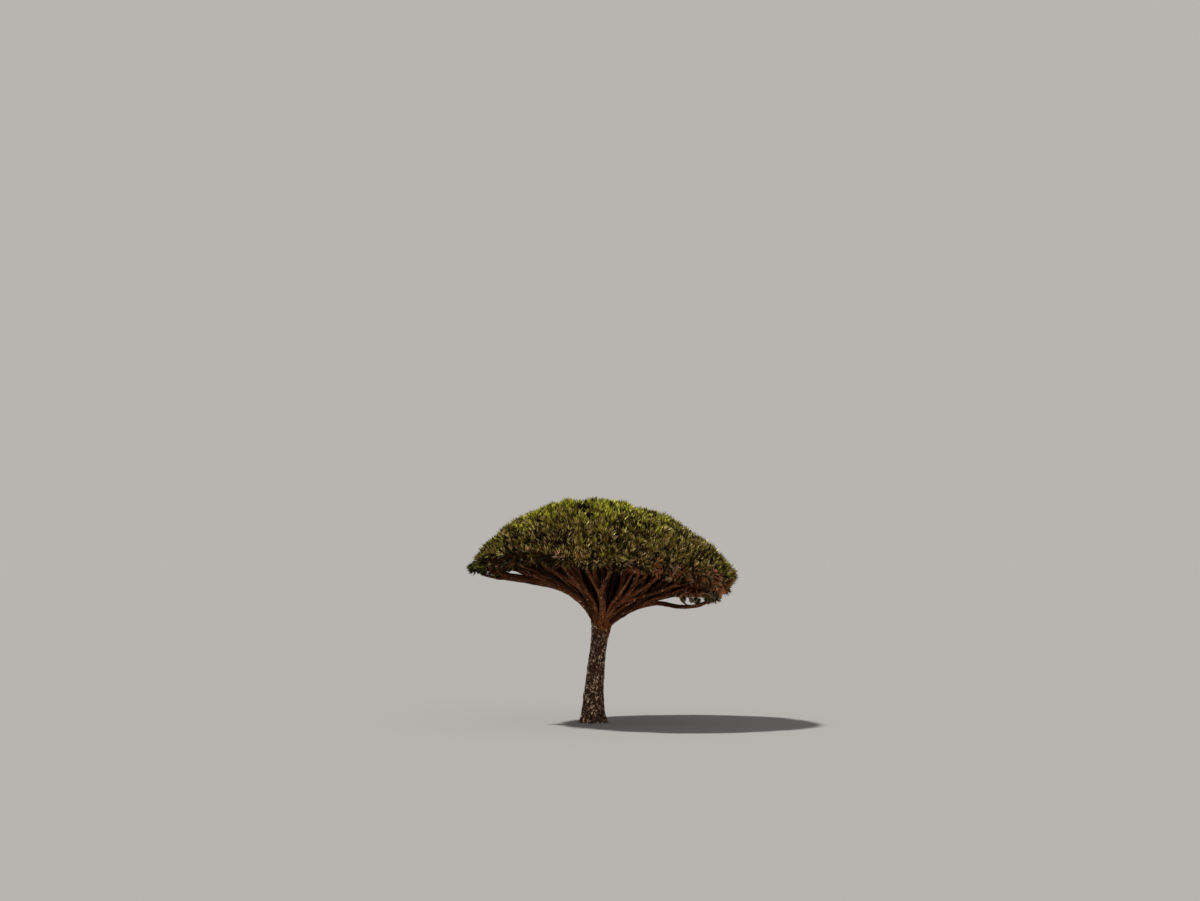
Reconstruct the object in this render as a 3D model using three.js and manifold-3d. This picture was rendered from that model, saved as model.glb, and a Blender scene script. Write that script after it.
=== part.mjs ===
// Dragon blood tree: a single leaning trunk that opens at its head into a fan of
// rising boughs, which fork and carry a wide, low dome of foliage.
//
// Millimetres, +Z up. The origin is the centre of the flat cut under the trunk, at
// ground level. +X is to the right of the front view and +Y is away from it.
// Azimuths are in degrees, from +X towards +Y, so the front is at -90.
import * as THREE from "three";
import { mergeVertices } from "three/addons/utils/BufferGeometryUtils.js";
import Module from "manifold-3d";

const wasm = await Module();
wasm.setup();

// ---- driving sizes -------------------------------------------------------
const TREE_TOP = 7120; // ground to the top of the dome
const GAP = 0.4; // left between pieces that meet

const TRUNK_LEAN = 300; // how far the head stands to the right of the foot
const TRUNK_LEAN_Z = 3140; // the height at which that lean is reached
const TRUNK_LEAN_POWER = 1.7;
const TRUNK_WAIST_R = 255;
const TRUNK_FOOT_SWELL = 145;
const TRUNK_FOOT_Z = 1050;
const TRUNK_HEAD_SWELL = 130;
const TRUNK_HEAD_Z = 3350;
const TRUNK_HEAD_FADE = 380;
const TRUNK_TOP_Z = 3560;
const ROOT_FLARE = 60; // extra radius at the ground
const ROOT_FLARE_Z = 170;
const ROOT_LOBE = 0.13; // root lobes, as a share of the radius
const ROOT_LOBE_Z = 420;

const HEAD_X = 300;
const HEAD_Y = 0;
const BOUGH_START_Z = 3050;
const BOUGHS = 10;
const BOUGH_STEP = 360 / BOUGHS;
const BOUGH_START_R = 120; // where a bough's centre line starts, out from the head's axis
const BOUGH_FORK_R = 1230;
const BOUGH_STEPS = 5;
const BOUGH_BASE_RAD = 120;
const BOUGH_TIP_RAD = 90;
const LIMB_BASE_RAD = 78;
const LIMB_TIP_RAD = 50;
const LIMB_SPREAD = 9.5; // degrees each side of the bough
const RISER_BASE_RAD = 74;
const RISER_TIP_RAD = 50;
const INNER_BASE_RAD = 104;
const INNER_TIP_RAD = 62;
const BURY = 130; // how far a limb's tip stands inside its mass of leaves

const CROWN_X = 368; // the dome's axis
const CROWN_R = 4150; // the dome's radius
const CROWN_TOP_Z = 7120;
const EDGE_Z = 4940; // the dome's widest line: its mean height
const EDGE_TILT = 240; // lower on the right, higher on the left
const EDGE_RISE = 200; // higher at the front and back
const EDGE_POWER = 0.79; // fullness of the dome
const EDGE_POWER_TILT = 0.05;
const SHOULDER = 340; // the shoulder is fuller on the left than on the right
const UNDER_Z = 5700; // underside of the foliage on the axis
const RIM_UNDER_Z = 4420; // underside of the foliage at the rim: its mean height
const RIM_UNDER_TILT = 340;
const RIM_UNDER_RISE = 430;
const HANG_AT = 65; // azimuth at which the foliage hangs lowest
const HANG_WIDTH = 40;
const HANG_DEPTH = 600;
const GROOVE = 90; // depth of the folds between the masses
const CLEFT = 26; // clear width of the folds
const LUMP = 45; // unevenness of the foliage

// ---- small helpers -------------------------------------------------------
const rad = (d) => (d * Math.PI) / 180;
const fract = (v) => v - Math.floor(v);
// A repeatable number from -1 to 1 for a pair of whole numbers.
const jit = (i, j) =>
  2 * fract(Math.sin(i * 12.9898 + j * 78.233 + 3.7) * 43758.5453) - 1;
const vec = (x, y, z) => new THREE.Vector3(x, y, z);
const mix = (a, b, t) => a + (b - a) * t;

// ---- trunk ---------------------------------------------------------------
const leanAt = (z) =>
  TRUNK_LEAN * Math.pow(Math.max(z, 0) / TRUNK_LEAN_Z, TRUNK_LEAN_POWER);

function trunkRadius(z) {
  let r =
    TRUNK_WAIST_R +
    TRUNK_FOOT_SWELL * Math.exp(-Math.pow(z / TRUNK_FOOT_Z, 1.3));
  r +=
    TRUNK_HEAD_SWELL *
    Math.exp(-Math.pow(Math.max(TRUNK_HEAD_Z - z, 0) / TRUNK_HEAD_FADE, 1.5));
  r += ROOT_FLARE * Math.exp(-z / ROOT_FLARE_Z);
  if (z > TRUNK_HEAD_Z) {
    const t = (z - TRUNK_HEAD_Z) / (TRUNK_TOP_Z - TRUNK_HEAD_Z);
    r *= Math.sqrt(Math.max(1 - t * t, 0));
  }
  return r;
}

function trunkLobes(z, a) {
  const root =
    ROOT_LOBE *
    Math.exp(-z / ROOT_LOBE_Z) *
    (0.6 * Math.cos(5 * a + 0.6) + 0.5 * Math.cos(3 * a - 1.0));
  return 1 + root + 0.02 * Math.cos(7 * a + z * 0.0008);
}

function trunkGeometry(grow) {
  const levels = [0, 90, 240, 480, 900, 1600, 2300, 2750, 3030, 3200];
  levels.push(TRUNK_HEAD_Z, 3450, TRUNK_TOP_Z - 20);
  const g = new THREE.CylinderGeometry(1, 1, 1, 16, levels.length - 1);
  const p = g.attributes.position;
  for (let i = 0; i < p.count; i++) {
    const x = p.getX(i),
      y = p.getY(i),
      z = p.getZ(i);
    const k = Math.round((y + 0.5) * (levels.length - 1));
    const h = levels[k] + (k === levels.length - 1 ? grow : 0);
    const axis = Math.hypot(x, z) < 1e-6;
    const a = Math.atan2(z, x);
    const r = axis ? 0 : (trunkRadius(levels[k]) + grow) * trunkLobes(h, -a);
    p.setXYZ(i, leanAt(h) + r * Math.cos(a), -r * Math.sin(a), h);
  }
  return g;
}

// ---- the dome ------------------------------------------------------------
const edgeZ = (a) =>
  EDGE_Z - EDGE_TILT * Math.cos(a) + EDGE_RISE * Math.sin(a) ** 2;
const edgePower = (a) => EDGE_POWER + EDGE_POWER_TILT * Math.cos(a);
const crownRadius = (a) =>
  CROWN_R *
  (1 + 0.012 * Math.cos(3 * a + 0.4) + 0.01 * Math.cos(5 * a + 2.2));
// The foliage's lowest line, under its rim, and how far inside the rim that is.
// The foliage hangs lowest at the back right.
const hang = (a) => {
  const off = Math.atan2(Math.sin(a - rad(HANG_AT)), Math.cos(a - rad(HANG_AT)));
  return Math.exp(-((off / rad(HANG_WIDTH)) ** 2));
};
const rimUnderZ = (a) =>
  RIM_UNDER_Z -
  RIM_UNDER_TILT * Math.cos(a) +
  RIM_UNDER_RISE * Math.sin(a) ** 2 -
  30 * Math.cos(4 * a) -
  HANG_DEPTH * hang(a);
const rimUnderShare = (a) =>
  1 - (0.03 + 0.03 * (1 + Math.cos(a)) + 0.05 * hang(a));
const underPower = (a) => 1.4 - 0.4 * Math.cos(a);

function domeZ(share, a) {
  const s = Math.min(share, 1);
  const k = 1 - s * s;
  return (
    edgeZ(a) +
    (CROWN_TOP_Z - edgeZ(a)) * Math.pow(k, edgePower(a)) -
    SHOULDER * Math.cos(a) * s * k * k
  );
}

function underZ(share, a) {
  const s = Math.min(share / rimUnderShare(a), 1);
  return (
    rimUnderZ(a) + (UNDER_Z - rimUnderZ(a)) * (1 - Math.pow(s, underPower(a)))
  );
}

// The middles of the masses: one on top, a ring round it, and the rim's ring.
const INNER_MASSES = 5;
const RIM_MASSES = 10;
const INNER_RING = 0.46;
const RIM_RING = 0.9;
const cells = [{ name: "crown_top", x: CROWN_X, y: 0 }];
for (let k = 0; k < INNER_MASSES; k++) {
  const a = rad(-90 + (k * 360) / INNER_MASSES + 18 + 7 * jit(k, 1));
  const r = CROWN_R * INNER_RING * (1 + 0.06 * jit(k, 2));
  cells.push({
    name: "crown_middle_" + (k + 1),
    x: CROWN_X + r * Math.cos(a),
    y: r * Math.sin(a),
  });
}
for (let k = 0; k < RIM_MASSES; k++) {
  const a = rad(-90 + (k * 360) / RIM_MASSES + 4 * jit(k, 3));
  const r = CROWN_R * RIM_RING * (1 + 0.03 * jit(k, 4));
  cells.push({
    name: "crown_rim_" + String(k + 1).padStart(2, "0"),
    x: CROWN_X + r * Math.cos(a),
    y: r * Math.sin(a),
  });
}

// 0 in the middle of a mass and 1 on the fold between two.
function foldAt(x, y) {
  let d1 = Infinity,
    d2 = Infinity;
  for (const c of cells) {
    const d = Math.hypot(x - c.x, y - c.y);
    if (d < d1) {
      d2 = d1;
      d1 = d;
    } else if (d < d2) d2 = d;
  }
  return Math.pow(d1 / Math.max(d2, 1), 3);
}

const lumpAt = (x, y) =>
  LUMP *
  (Math.sin(x * 0.0031 + 1.3) * Math.cos(y * 0.0037 - 0.4) +
    0.6 * Math.sin(x * 0.0067 - y * 0.0059 + 2.1));

function crownGeometry() {
  const under = [0, 0.28, 0.55, 0.8, 1];
  const over = [1, 0.96, 0.87, 0.74, 0.58, 0.4, 0.2, 0];
  const profile = [];
  for (const s of under) profile.push(new THREE.Vector2(s, 0));
  profile.push(new THREE.Vector2(1, 0.5));
  for (const s of over) profile.push(new THREE.Vector2(s, 1));
  const g = new THREE.LatheGeometry(profile, 40);
  const p = g.attributes.position;
  for (let i = 0; i < p.count; i++) {
    const s = Math.hypot(p.getX(i), p.getZ(i));
    const top = p.getY(i) > 0.6;
    const wall = p.getY(i) > 0.4 && !top;
    const a = Math.atan2(-p.getZ(i), p.getX(i));
    const share = top ? s : s * mix(rimUnderShare(a), 1, wall ? 0.72 : 0);
    const r = share * crownRadius(a);
    const x = CROWN_X + r * Math.cos(a),
      y = r * Math.sin(a);
    let z;
    if (top) {
      const inside = 1 - Math.pow(s, 6);
      z =
        domeZ(s, a) -
        inside * (GROOVE * foldAt(x, y) - 0.6 * lumpAt(x, y));
    } else if (wall) z = mix(rimUnderZ(a), edgeZ(a), 0.45);
    else z = underZ(share, a) + 0.8 * lumpAt(y, x) * (1 - 0.6 * s);
    p.setXYZ(i, x, y, z);
  }
  return g;
}

// ---- limbs ---------------------------------------------------------------
// A round tapering tube along a list of centre points.
function tubeGeometry(points, radius, sides, grow) {
  const n = points.length - 1;
  const curve = new THREE.CatmullRomCurve3(points, false, "centripetal");
  const g = new THREE.CylinderGeometry(1, 1, 1, sides, n);
  const p = g.attributes.position;
  const frames = [];
  let side = null;
  for (let k = 0; k <= n; k++) {
    const c = points[k];
    const t = curve.getTangent(k / n).normalize();
    if (k > 0 && k < n)
      t.copy(points[k + 1]).sub(points[k - 1]).normalize();
    if (!side) side = vec(-t.y, t.x, 0.001).normalize();
    side = side.clone().addScaledVector(t, -side.dot(t)).normalize();
    const up = new THREE.Vector3().crossVectors(t, side);
    frames.push({ c, t, side, up });
  }
  for (let i = 0; i < p.count; i++) {
    const x = p.getX(i),
      z = p.getZ(i);
    const k = Math.round((p.getY(i) + 0.5) * n);
    const f = frames[k];
    const r = (radius(k / n) + grow) * (Math.hypot(x, z) < 1e-6 ? 0 : 1);
    const a = Math.atan2(z, x);
    const at = f.c
      .clone()
      .addScaledVector(f.up, r * Math.cos(a))
      .addScaledVector(f.side, r * Math.sin(a));
    if (k === n) at.addScaledVector(f.t, grow);
    if (k === 0) at.addScaledVector(f.t, -grow);
    p.setXYZ(i, at.x, at.y, at.z);
  }
  return g;
}

const polar = (a, r, z) =>
  vec(HEAD_X + r * Math.cos(a), HEAD_Y + r * Math.sin(a), z);

// Height of a bough's centre line at a distance r from the head's axis.
function boughZ(a, r, lift) {
  const front = Math.sin(a) ** 2;
  const rise = (1180 - 180 * Math.cos(a) + 20 * front) * lift;
  const reach = 1020 + 280 * Math.cos(a) - 120 * front;
  const slope = 0.075 - 0.015 * Math.cos(a) + 0.045 * front;
  return BOUGH_START_Z + rise * (1 - Math.exp(-(r - 100) / reach)) + slope * r;
}

function bezier(p0, p1, p2, p3, n) {
  return new THREE.CubicBezierCurve3(p0, p1, p2, p3).getPoints(n);
}

// The azimuth and share of the dome's radius of a point.
function onCrown(v) {
  const a = Math.atan2(v.y, v.x - CROWN_X);
  return { a, share: Math.hypot(v.x - CROWN_X, v.y) / crownRadius(a) };
}

const limbs = [];
function addLimb(name, points, r0, r1, sides) {
  limbs.push({
    name,
    points,
    sides,
    radius: (t) => mix(r0, r1, Math.pow(t, 0.85)),
  });
}

// A limb that leaves `from` along `along` and climbs into the foliage at `to`.
function climb(name, from, along, to, r0, r1, lift, steps) {
  const length = from.distanceTo(to);
  const straight = to.clone().sub(from).normalize();
  const out = along
    .clone()
    .multiplyScalar(0.65)
    .addScaledVector(straight, 0.5)
    .normalize();
  const up = straight.clone().add(vec(0, 0, lift)).normalize();
  const points = bezier(
    from,
    from.clone().addScaledVector(out, length * 0.34),
    to.clone().addScaledVector(up, -length * 0.3),
    to,
    steps,
  );
  addLimb(name, points, r0, r1, 6);
}

const forks = [];
for (let k = 0; k < BOUGHS; k++) {
  const a0 = rad(-90 + k * BOUGH_STEP + 5 * jit(k, 5));
  const lift = k % 2 ? 1.1 : 0.98;
  const forkR = BOUGH_FORK_R * (1 + 0.09 * jit(k, 6)) * (k % 2 ? 0.92 : 1.06);
  const points = [];
  for (let i = 0; i <= BOUGH_STEPS; i++) {
    const t = i / BOUGH_STEPS;
    const r = mix(BOUGH_START_R, forkR, t);
    const a = a0 + rad(3.5) * jit(k, 7) * Math.sin(t * 3.4);
    points.push(polar(a, r, boughZ(a, r, lift)));
  }
  addLimb(
    "bough_" + String(k + 1).padStart(2, "0"),
    points,
    BOUGH_BASE_RAD,
    BOUGH_TIP_RAD,
    7,
  );
  const end = points[BOUGH_STEPS];
  const last = points[BOUGH_STEPS - 1];
  forks.push({
    end: end.clone().lerp(last, 0.3),
    along: end.clone().sub(last).normalize(),
    a: Math.atan2(end.y - HEAD_Y, end.x - HEAD_X),
  });
}

// Two limbs from each fork to the rim's masses.
forks.forEach((f, k) => {
  [-1, 1].forEach((side, j) => {
    const a = f.a + rad(side * LIMB_SPREAD + 1.5 * jit(k, 8 + j));
    const r = 3180 - 130 * Math.cos(a) + 160 * jit(k, 10 + j);
    const to = polar(a, r, 0);
    const on = onCrown(to);
    to.z = underZ(on.share, on.a) + BURY;
    climb(
      "limb_" + String(k + 1).padStart(2, "0") + "ab"[j],
      f.end,
      f.along,
      to,
      LIMB_BASE_RAD,
      LIMB_TIP_RAD,
      0.25,
      5,
    );
  });
});

// A steeper riser from every other fork to the middle ring, and two inner
// boughs from the head to the top mass.
for (let k = 0; k < INNER_MASSES; k++) {
  const cell = cells[1 + k];
  const ca = Math.atan2(cell.y - HEAD_Y, cell.x - HEAD_X);
  let best = 0;
  forks.forEach((f, i) => {
    const off = (q) =>
      Math.abs(Math.atan2(Math.sin(q.a - ca), Math.cos(q.a - ca)));
    if (off(f) < off(forks[best])) best = i;
  });
  const to = polar(ca, 1780, 0);
  const on = onCrown(to);
  to.z = underZ(on.share, on.a) + BURY;
  climb(
    "riser_" + (k + 1),
    forks[best].end,
    forks[best].along.clone().add(vec(0, 0, 0.8)).normalize(),
    to,
    RISER_BASE_RAD,
    RISER_TIP_RAD,
    0.1,
    4,
  );
}
[-60, 125].forEach((d, k) => {
  const from = polar(rad(d), 60, 3250);
  const to = polar(rad(d + 8), 520, UNDER_Z + BURY - 40);
  climb(
    "inner_bough_" + (k + 1),
    from,
    vec(0.16 * Math.cos(rad(d)), 0.16 * Math.sin(rad(d)), 1).normalize(),
    to,
    INNER_BASE_RAD,
    INNER_TIP_RAD,
    0.3,
    5,
  );
});

// The two lowest boughs, one each side, which run out under the dome alone.
const nearest = (a) =>
  forks.reduce((b, f) =>
    Math.cos(f.a - a) > Math.cos(b.a - a) ? f : b,
  );
const LOW_LEFT_A = rad(184);
const LOW_RIGHT_A = rad(-7);
const lowLeft = nearest(LOW_LEFT_A);
const lowRight = nearest(LOW_RIGHT_A);
function lowPath(from, a, stations) {
  const pts = [from.clone()];
  for (const [r, z] of stations) pts.push(polar(a, r, z));
  return pts;
}
addLimb(
  "low_bough_left",
  lowPath(lowLeft.end, LOW_LEFT_A, [
    [1640, 4345],
    [2280, 4465],
    [2850, 4550],
    [3400, 4615],
    [3780, 4710],
    [3960, 4815],
  ]),
  80,
  42,
  7,
);
addLimb(
  "low_bough_right",
  lowPath(lowRight.end, LOW_RIGHT_A, [
    [1720, 3800],
    [2130, 3735],
    [2450, 3675],
    [2850, 3680],
    [3160, 3745],
    [3420, 3870],
  ]),
  66,
  36,
  7,
);

// ---- loose tufts under the dome ------------------------------------------
function tuftGeometry(x, y, z, rx, ry, rz, seed) {
  const g = new THREE.IcosahedronGeometry(1, 1);
  const p = g.attributes.position;
  for (let i = 0; i < p.count; i++) {
    const v = vec(p.getX(i), p.getY(i), p.getZ(i)).normalize();
    const k =
      1 +
      0.09 * Math.sin(3.1 * v.x + 4.2 * v.y + seed) +
      0.07 * Math.cos(5.3 * v.z - 3.7 * v.x + 2 * seed);
    p.setXYZ(i, x + rx * k * v.x, y + ry * k * v.y, z + rz * k * v.z);
  }
  return g;
}

const tipL = polar(LOW_LEFT_A, 4010, 4850);
const tipR = polar(LOW_RIGHT_A, 3500, 3905);
const tipM = polar(LOW_RIGHT_A - rad(1), 3020, 3850);
const tufts = [
  ["tuft_left_tip", tuftGeometry(tipL.x, tipL.y, tipL.z, 225, 270, 225, 0.7)],
  ["tuft_low_right", tuftGeometry(tipR.x, tipR.y, tipR.z, 230, 240, 170, 1.9)],
  ["tuft_low_middle", tuftGeometry(tipM.x, tipM.y, tipM.z, 140, 150, 105, 3.1)],
];

// ---- solids --------------------------------------------------------------
function solidOf(geometry) {
  const g = geometry.clone();
  g.deleteAttribute("normal");
  g.deleteAttribute("uv");
  const m = mergeVertices(g, 1e-3);
  const s = new wasm.Manifold(
    new wasm.Mesh({
      numProp: 3,
      vertProperties: new Float32Array(m.attributes.position.array),
      triVerts: new Uint32Array(m.index.array),
    }),
  );
  if (s.volume() >= 0) return s;
  const t = new Uint32Array(m.index.array);
  for (let i = 0; i < t.length; i += 3) [t[i + 1], t[i + 2]] = [t[i + 2], t[i + 1]];
  return new wasm.Manifold(
    new wasm.Mesh({
      numProp: 3,
      vertProperties: new Float32Array(m.attributes.position.array),
      triVerts: t,
    }),
  );
}

// The largest single body of a solid.
function whole(s) {
  return s.decompose().reduce((a, b) => (b.volume() > a.volume() ? b : a));
}

function geometryOf(s) {
  const m = s.getMesh();
  const v = new Float32Array(m.numVert * 3);
  for (let i = 0; i < m.numVert; i++)
    v.set(m.vertProperties.subarray(i * m.numProp, i * m.numProp + 3), i * 3);
  const g = new THREE.BufferGeometry()
    .setAttribute("position", new THREE.BufferAttribute(v, 3))
    .setIndex(new THREE.BufferAttribute(new Uint32Array(m.triVerts), 1));
  g.computeVertexNormals();
  return g;
}

const trunkBark = new THREE.MeshStandardMaterial({
  color: 0x6a4c38,
  roughness: 0.92,
  metalness: 0,
});
const boughBark = new THREE.MeshStandardMaterial({
  color: 0x8a4f33,
  roughness: 0.85,
  metalness: 0,
});
const leafTop = new THREE.MeshStandardMaterial({
  color: 0x6f7d1e,
  roughness: 0.6,
  metalness: 0,
});
const leafRim = new THREE.MeshStandardMaterial({
  color: 0x5b5f22,
  roughness: 0.65,
  metalness: 0,
});

const tree = new THREE.Group();
tree.name = "dragon_blood_tree";
function place(name, s, material) {
  const mesh = new THREE.Mesh(geometryOf(s), material);
  mesh.name = name;
  tree.add(mesh);
}

place("trunk", solidOf(trunkGeometry(0)), trunkBark);

// Each limb is cut back from the trunk and from the limbs before it.
let taken = solidOf(trunkGeometry(GAP));
const grown = [];
for (const l of limbs) {
  const raw = solidOf(tubeGeometry(l.points, l.radius, l.sides, 0));
  const cut = whole(raw.subtract(taken));
  place(l.name, cut, boughBark);
  const fat = solidOf(tubeGeometry(l.points, l.radius, l.sides, GAP));
  grown.push(fat);
  taken = taken.add(fat);
}

// The tufts stand round the tips of the low boughs, clear of the dome.
const dome = solidOf(crownGeometry());
const tuftSolids = [];
for (const [name, g] of tufts) {
  let s = solidOf(g).subtract(dome).subtract(taken);
  for (const other of tuftSolids) s = s.subtract(other);
  s = whole(s);
  place(name, s, leafRim);
  tuftSolids.push(s);
}
// A tuft that touches the dome is left a clear fold there.
const keepOff = tufts.map(([, g], i) => {
  const c = g.clone();
  c.computeBoundingBox();
  const m = c.boundingBox.getCenter(vec(0, 0, 0));
  c.translate(-m.x, -m.y, -m.z).scale(1.02, 1.02, 1.02).translate(m.x, m.y, m.z);
  return solidOf(c);
});

// Each mass is the part of the dome nearest its own middle.
function cellPrism(cell) {
  const far = 6000;
  let poly = [
    [-far, -far],
    [far, -far],
    [far, far],
    [-far, far],
  ];
  for (const o of cells) {
    if (o === cell) continue;
    const dx = o.x - cell.x,
      dy = o.y - cell.y,
      d = Math.hypot(dx, dy);
    const nx = dx / d,
      ny = dy / d;
    const limit =
      nx * (cell.x + o.x) * 0.5 + ny * (cell.y + o.y) * 0.5 - CLEFT / 2;
    const next = [];
    for (let i = 0; i < poly.length; i++) {
      const p = poly[i],
        q = poly[(i + 1) % poly.length];
      const a = nx * p[0] + ny * p[1] - limit,
        b = nx * q[0] + ny * q[1] - limit;
      if (a <= 0) next.push(p);
      if (a < 0 !== b < 0) {
        const t = a / (a - b);
        next.push([mix(p[0], q[0], t), mix(p[1], q[1], t)]);
      }
    }
    poly = next;
  }
  const shape = new THREE.Shape(poly.map(([x, y]) => new THREE.Vector2(x, y)));
  const g = new THREE.ExtrudeGeometry(shape, {
    depth: 4000,
    bevelEnabled: false,
    steps: 1,
  });
  g.translate(0, 0, 3600);
  return solidOf(g);
}

const crown = keepOff.reduce((s, t) => s.subtract(t), dome).subtract(taken);
for (const cell of cells) {
  const s = whole(crown.intersect(cellPrism(cell)));
  place(cell.name, s, cell.name.includes("rim") ? leafRim : leafTop);
}

export default tree;
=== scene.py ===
import math

import bpy
import numpy as np
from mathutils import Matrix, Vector
from mathutils.kdtree import KDTree


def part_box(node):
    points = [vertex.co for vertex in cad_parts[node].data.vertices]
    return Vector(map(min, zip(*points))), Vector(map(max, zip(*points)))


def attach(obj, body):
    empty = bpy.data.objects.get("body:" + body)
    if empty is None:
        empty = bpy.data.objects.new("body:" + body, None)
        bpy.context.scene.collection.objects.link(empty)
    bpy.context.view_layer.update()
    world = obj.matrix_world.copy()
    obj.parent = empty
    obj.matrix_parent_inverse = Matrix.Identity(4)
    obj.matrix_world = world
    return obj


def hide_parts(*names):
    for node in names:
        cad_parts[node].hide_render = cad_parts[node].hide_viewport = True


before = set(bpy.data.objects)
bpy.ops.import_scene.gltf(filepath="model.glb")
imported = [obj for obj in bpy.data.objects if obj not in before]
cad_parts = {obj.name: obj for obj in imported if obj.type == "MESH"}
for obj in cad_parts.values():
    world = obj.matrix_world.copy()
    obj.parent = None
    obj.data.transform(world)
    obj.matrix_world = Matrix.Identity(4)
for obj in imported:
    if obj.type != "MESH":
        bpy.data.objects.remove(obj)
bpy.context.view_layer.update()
rng = np.random.default_rng(20731)

# ---------------------------------------------------------------- sizes (m)
HEAD = np.array([0.30, 0.0])
BOUGHS = 10
CROWN_X = 0.368
CROWN_R = 4.150
CROWN_TOP_Z = 7.120
EDGE_Z, EDGE_TILT, EDGE_RISE = 4.940, 0.240, 0.200
EDGE_POWER, EDGE_POWER_TILT, SHOULDER = 0.79, 0.05, 0.340
UNDER_Z = 5.700
BURY = 0.130
TIP_SPACING = 0.144  # least distance between two leaf rosettes
INSET = 0.190  # a rosette's heart stands this far inside the dome's outline
CREASE = 0.085  # how much deeper the hearts stand between two clumps
LEAF = 0.26  # length of a leaf
LEAF_WIDE = 0.041
RIM_UNDER_Z, RIM_UNDER_TILT, RIM_UNDER_RISE = 4.420, 0.340, 0.430
HANG_AT, HANG_WIDTH, HANG_DEPTH = math.radians(65), math.radians(40), 0.600


def fract(v):
    return v - math.floor(v)


def jit(i, j):
    return 2 * fract(math.sin(i * 12.9898 + j * 78.233 + 3.7) * 43758.5453) - 1


def mix(a, b, t):
    return a + (b - a) * t


def unit(v):
    v = np.asarray(v, float)
    n = np.linalg.norm(v, axis=-1, keepdims=True)
    return v / np.maximum(n, 1e-12)


# ---------------------------------------------------------------- noise
def _hash(ix, iy, iz, seed):
    h = (
        ix.astype(np.uint32) * np.uint32(374761393)
        + iy.astype(np.uint32) * np.uint32(668265263)
        + iz.astype(np.uint32) * np.uint32(2147483647)
        + np.uint32(seed * 1442695041 % 4294967296)
    )
    h = (h ^ (h >> np.uint32(13))) * np.uint32(1274126177)
    h = h ^ (h >> np.uint32(16))
    return h.astype(np.float64) / 4294967295.0 * 2 - 1


def noise(p, seed=0):
    """Smooth value noise from -1 to 1 at the points p (N x 3)."""
    p = np.asarray(p, float)
    f = np.floor(p)
    t = p - f
    t = t * t * t * (t * (t * 6 - 15) + 10)
    i = f.astype(np.int64)
    out = 0
    for a in (0, 1):
        wa = t[:, 0] if a else 1 - t[:, 0]
        for b in (0, 1):
            wb = t[:, 1] if b else 1 - t[:, 1]
            for c in (0, 1):
                wc = t[:, 2] if c else 1 - t[:, 2]
                out = out + wa * wb * wc * _hash(i[:, 0] + a, i[:, 1] + b, i[:, 2] + c, seed)
    return out


def fractal(p, octaves, seed=0, gain=0.5):
    s, k, n = 0, 1.0, 0
    for o in range(octaves):
        s = s + k * noise(p * 2.03**o, seed + o)
        n += k
        k *= gain
    return s / n


# ---------------------------------------------------------------- the dome
def edge_z(a):
    return EDGE_Z - EDGE_TILT * np.cos(a) + EDGE_RISE * np.sin(a) ** 2


def crown_radius(a):
    return CROWN_R * (1 + 0.012 * np.cos(3 * a + 0.4) + 0.01 * np.cos(5 * a + 2.2))


def hang(a):
    """The foliage hangs lowest at the back right."""
    off = np.arctan2(np.sin(a - HANG_AT), np.cos(a - HANG_AT))
    return np.exp(-((off / HANG_WIDTH) ** 2))


def rim_under_z(a):
    return (
        RIM_UNDER_Z
        - RIM_UNDER_TILT * np.cos(a)
        + RIM_UNDER_RISE * np.sin(a) ** 2
        - 0.03 * np.cos(4 * a)
        - HANG_DEPTH * hang(a)
    )


def rim_under_share(a):
    return 1 - (0.03 + 0.03 * (1 + np.cos(a)) + 0.05 * hang(a))


def dome_z(s, a):
    s = np.minimum(s, 1)
    k = 1 - s * s
    return (
        edge_z(a)
        + (CROWN_TOP_Z - edge_z(a)) * np.power(k, EDGE_POWER + EDGE_POWER_TILT * np.cos(a))
        - SHOULDER * np.cos(a) * s * k * k
    )


def under_z(s, a):
    s = np.minimum(s / rim_under_share(a), 1)
    return rim_under_z(a) + (UNDER_Z - rim_under_z(a)) * (1 - np.power(s, 1.4 - 0.4 * np.cos(a)))


cells = [(CROWN_X, 0.0)]
for k in range(5):
    a = math.radians(-90 + k * 72 + 18 + 7 * jit(k, 1))
    r = CROWN_R * 0.46 * (1 + 0.06 * jit(k, 2))
    cells.append((CROWN_X + r * math.cos(a), r * math.sin(a)))
for k in range(10):
    a = math.radians(-90 + k * 36 + 4 * jit(k, 3))
    r = CROWN_R * 0.9 * (1 + 0.03 * jit(k, 4))
    cells.append((CROWN_X + r * math.cos(a), r * math.sin(a)))
cells = np.array(cells)


def fold_at(x, y):
    d = np.hypot(x[:, None] - cells[None, :, 0], y[:, None] - cells[None, :, 1])
    d.sort(axis=1)
    return (d[:, 0] / d[:, 1]) ** 3


# ---------------------------------------------------------------- limbs
def polar(a, r, z):
    return np.array([HEAD[0] + r * math.cos(a), HEAD[1] + r * math.sin(a), z])


def bough_z(a, r, lift):
    front = math.sin(a) ** 2
    rise = (1.180 - 0.180 * math.cos(a) + 0.020 * front) * lift
    reach = 1.020 + 0.280 * math.cos(a) - 0.120 * front
    slope = 0.075 - 0.015 * math.cos(a) + 0.045 * front
    return 3.050 + rise * (1 - math.exp(-(r - 0.1) / reach)) + slope * r


def bezier(p0, p1, p2, p3, n):
    t = np.linspace(0, 1, n)[:, None]
    return (1 - t) ** 3 * p0 + 3 * t * (1 - t) ** 2 * p1 + 3 * t * t * (1 - t) * p2 + t**3 * p3


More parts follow.
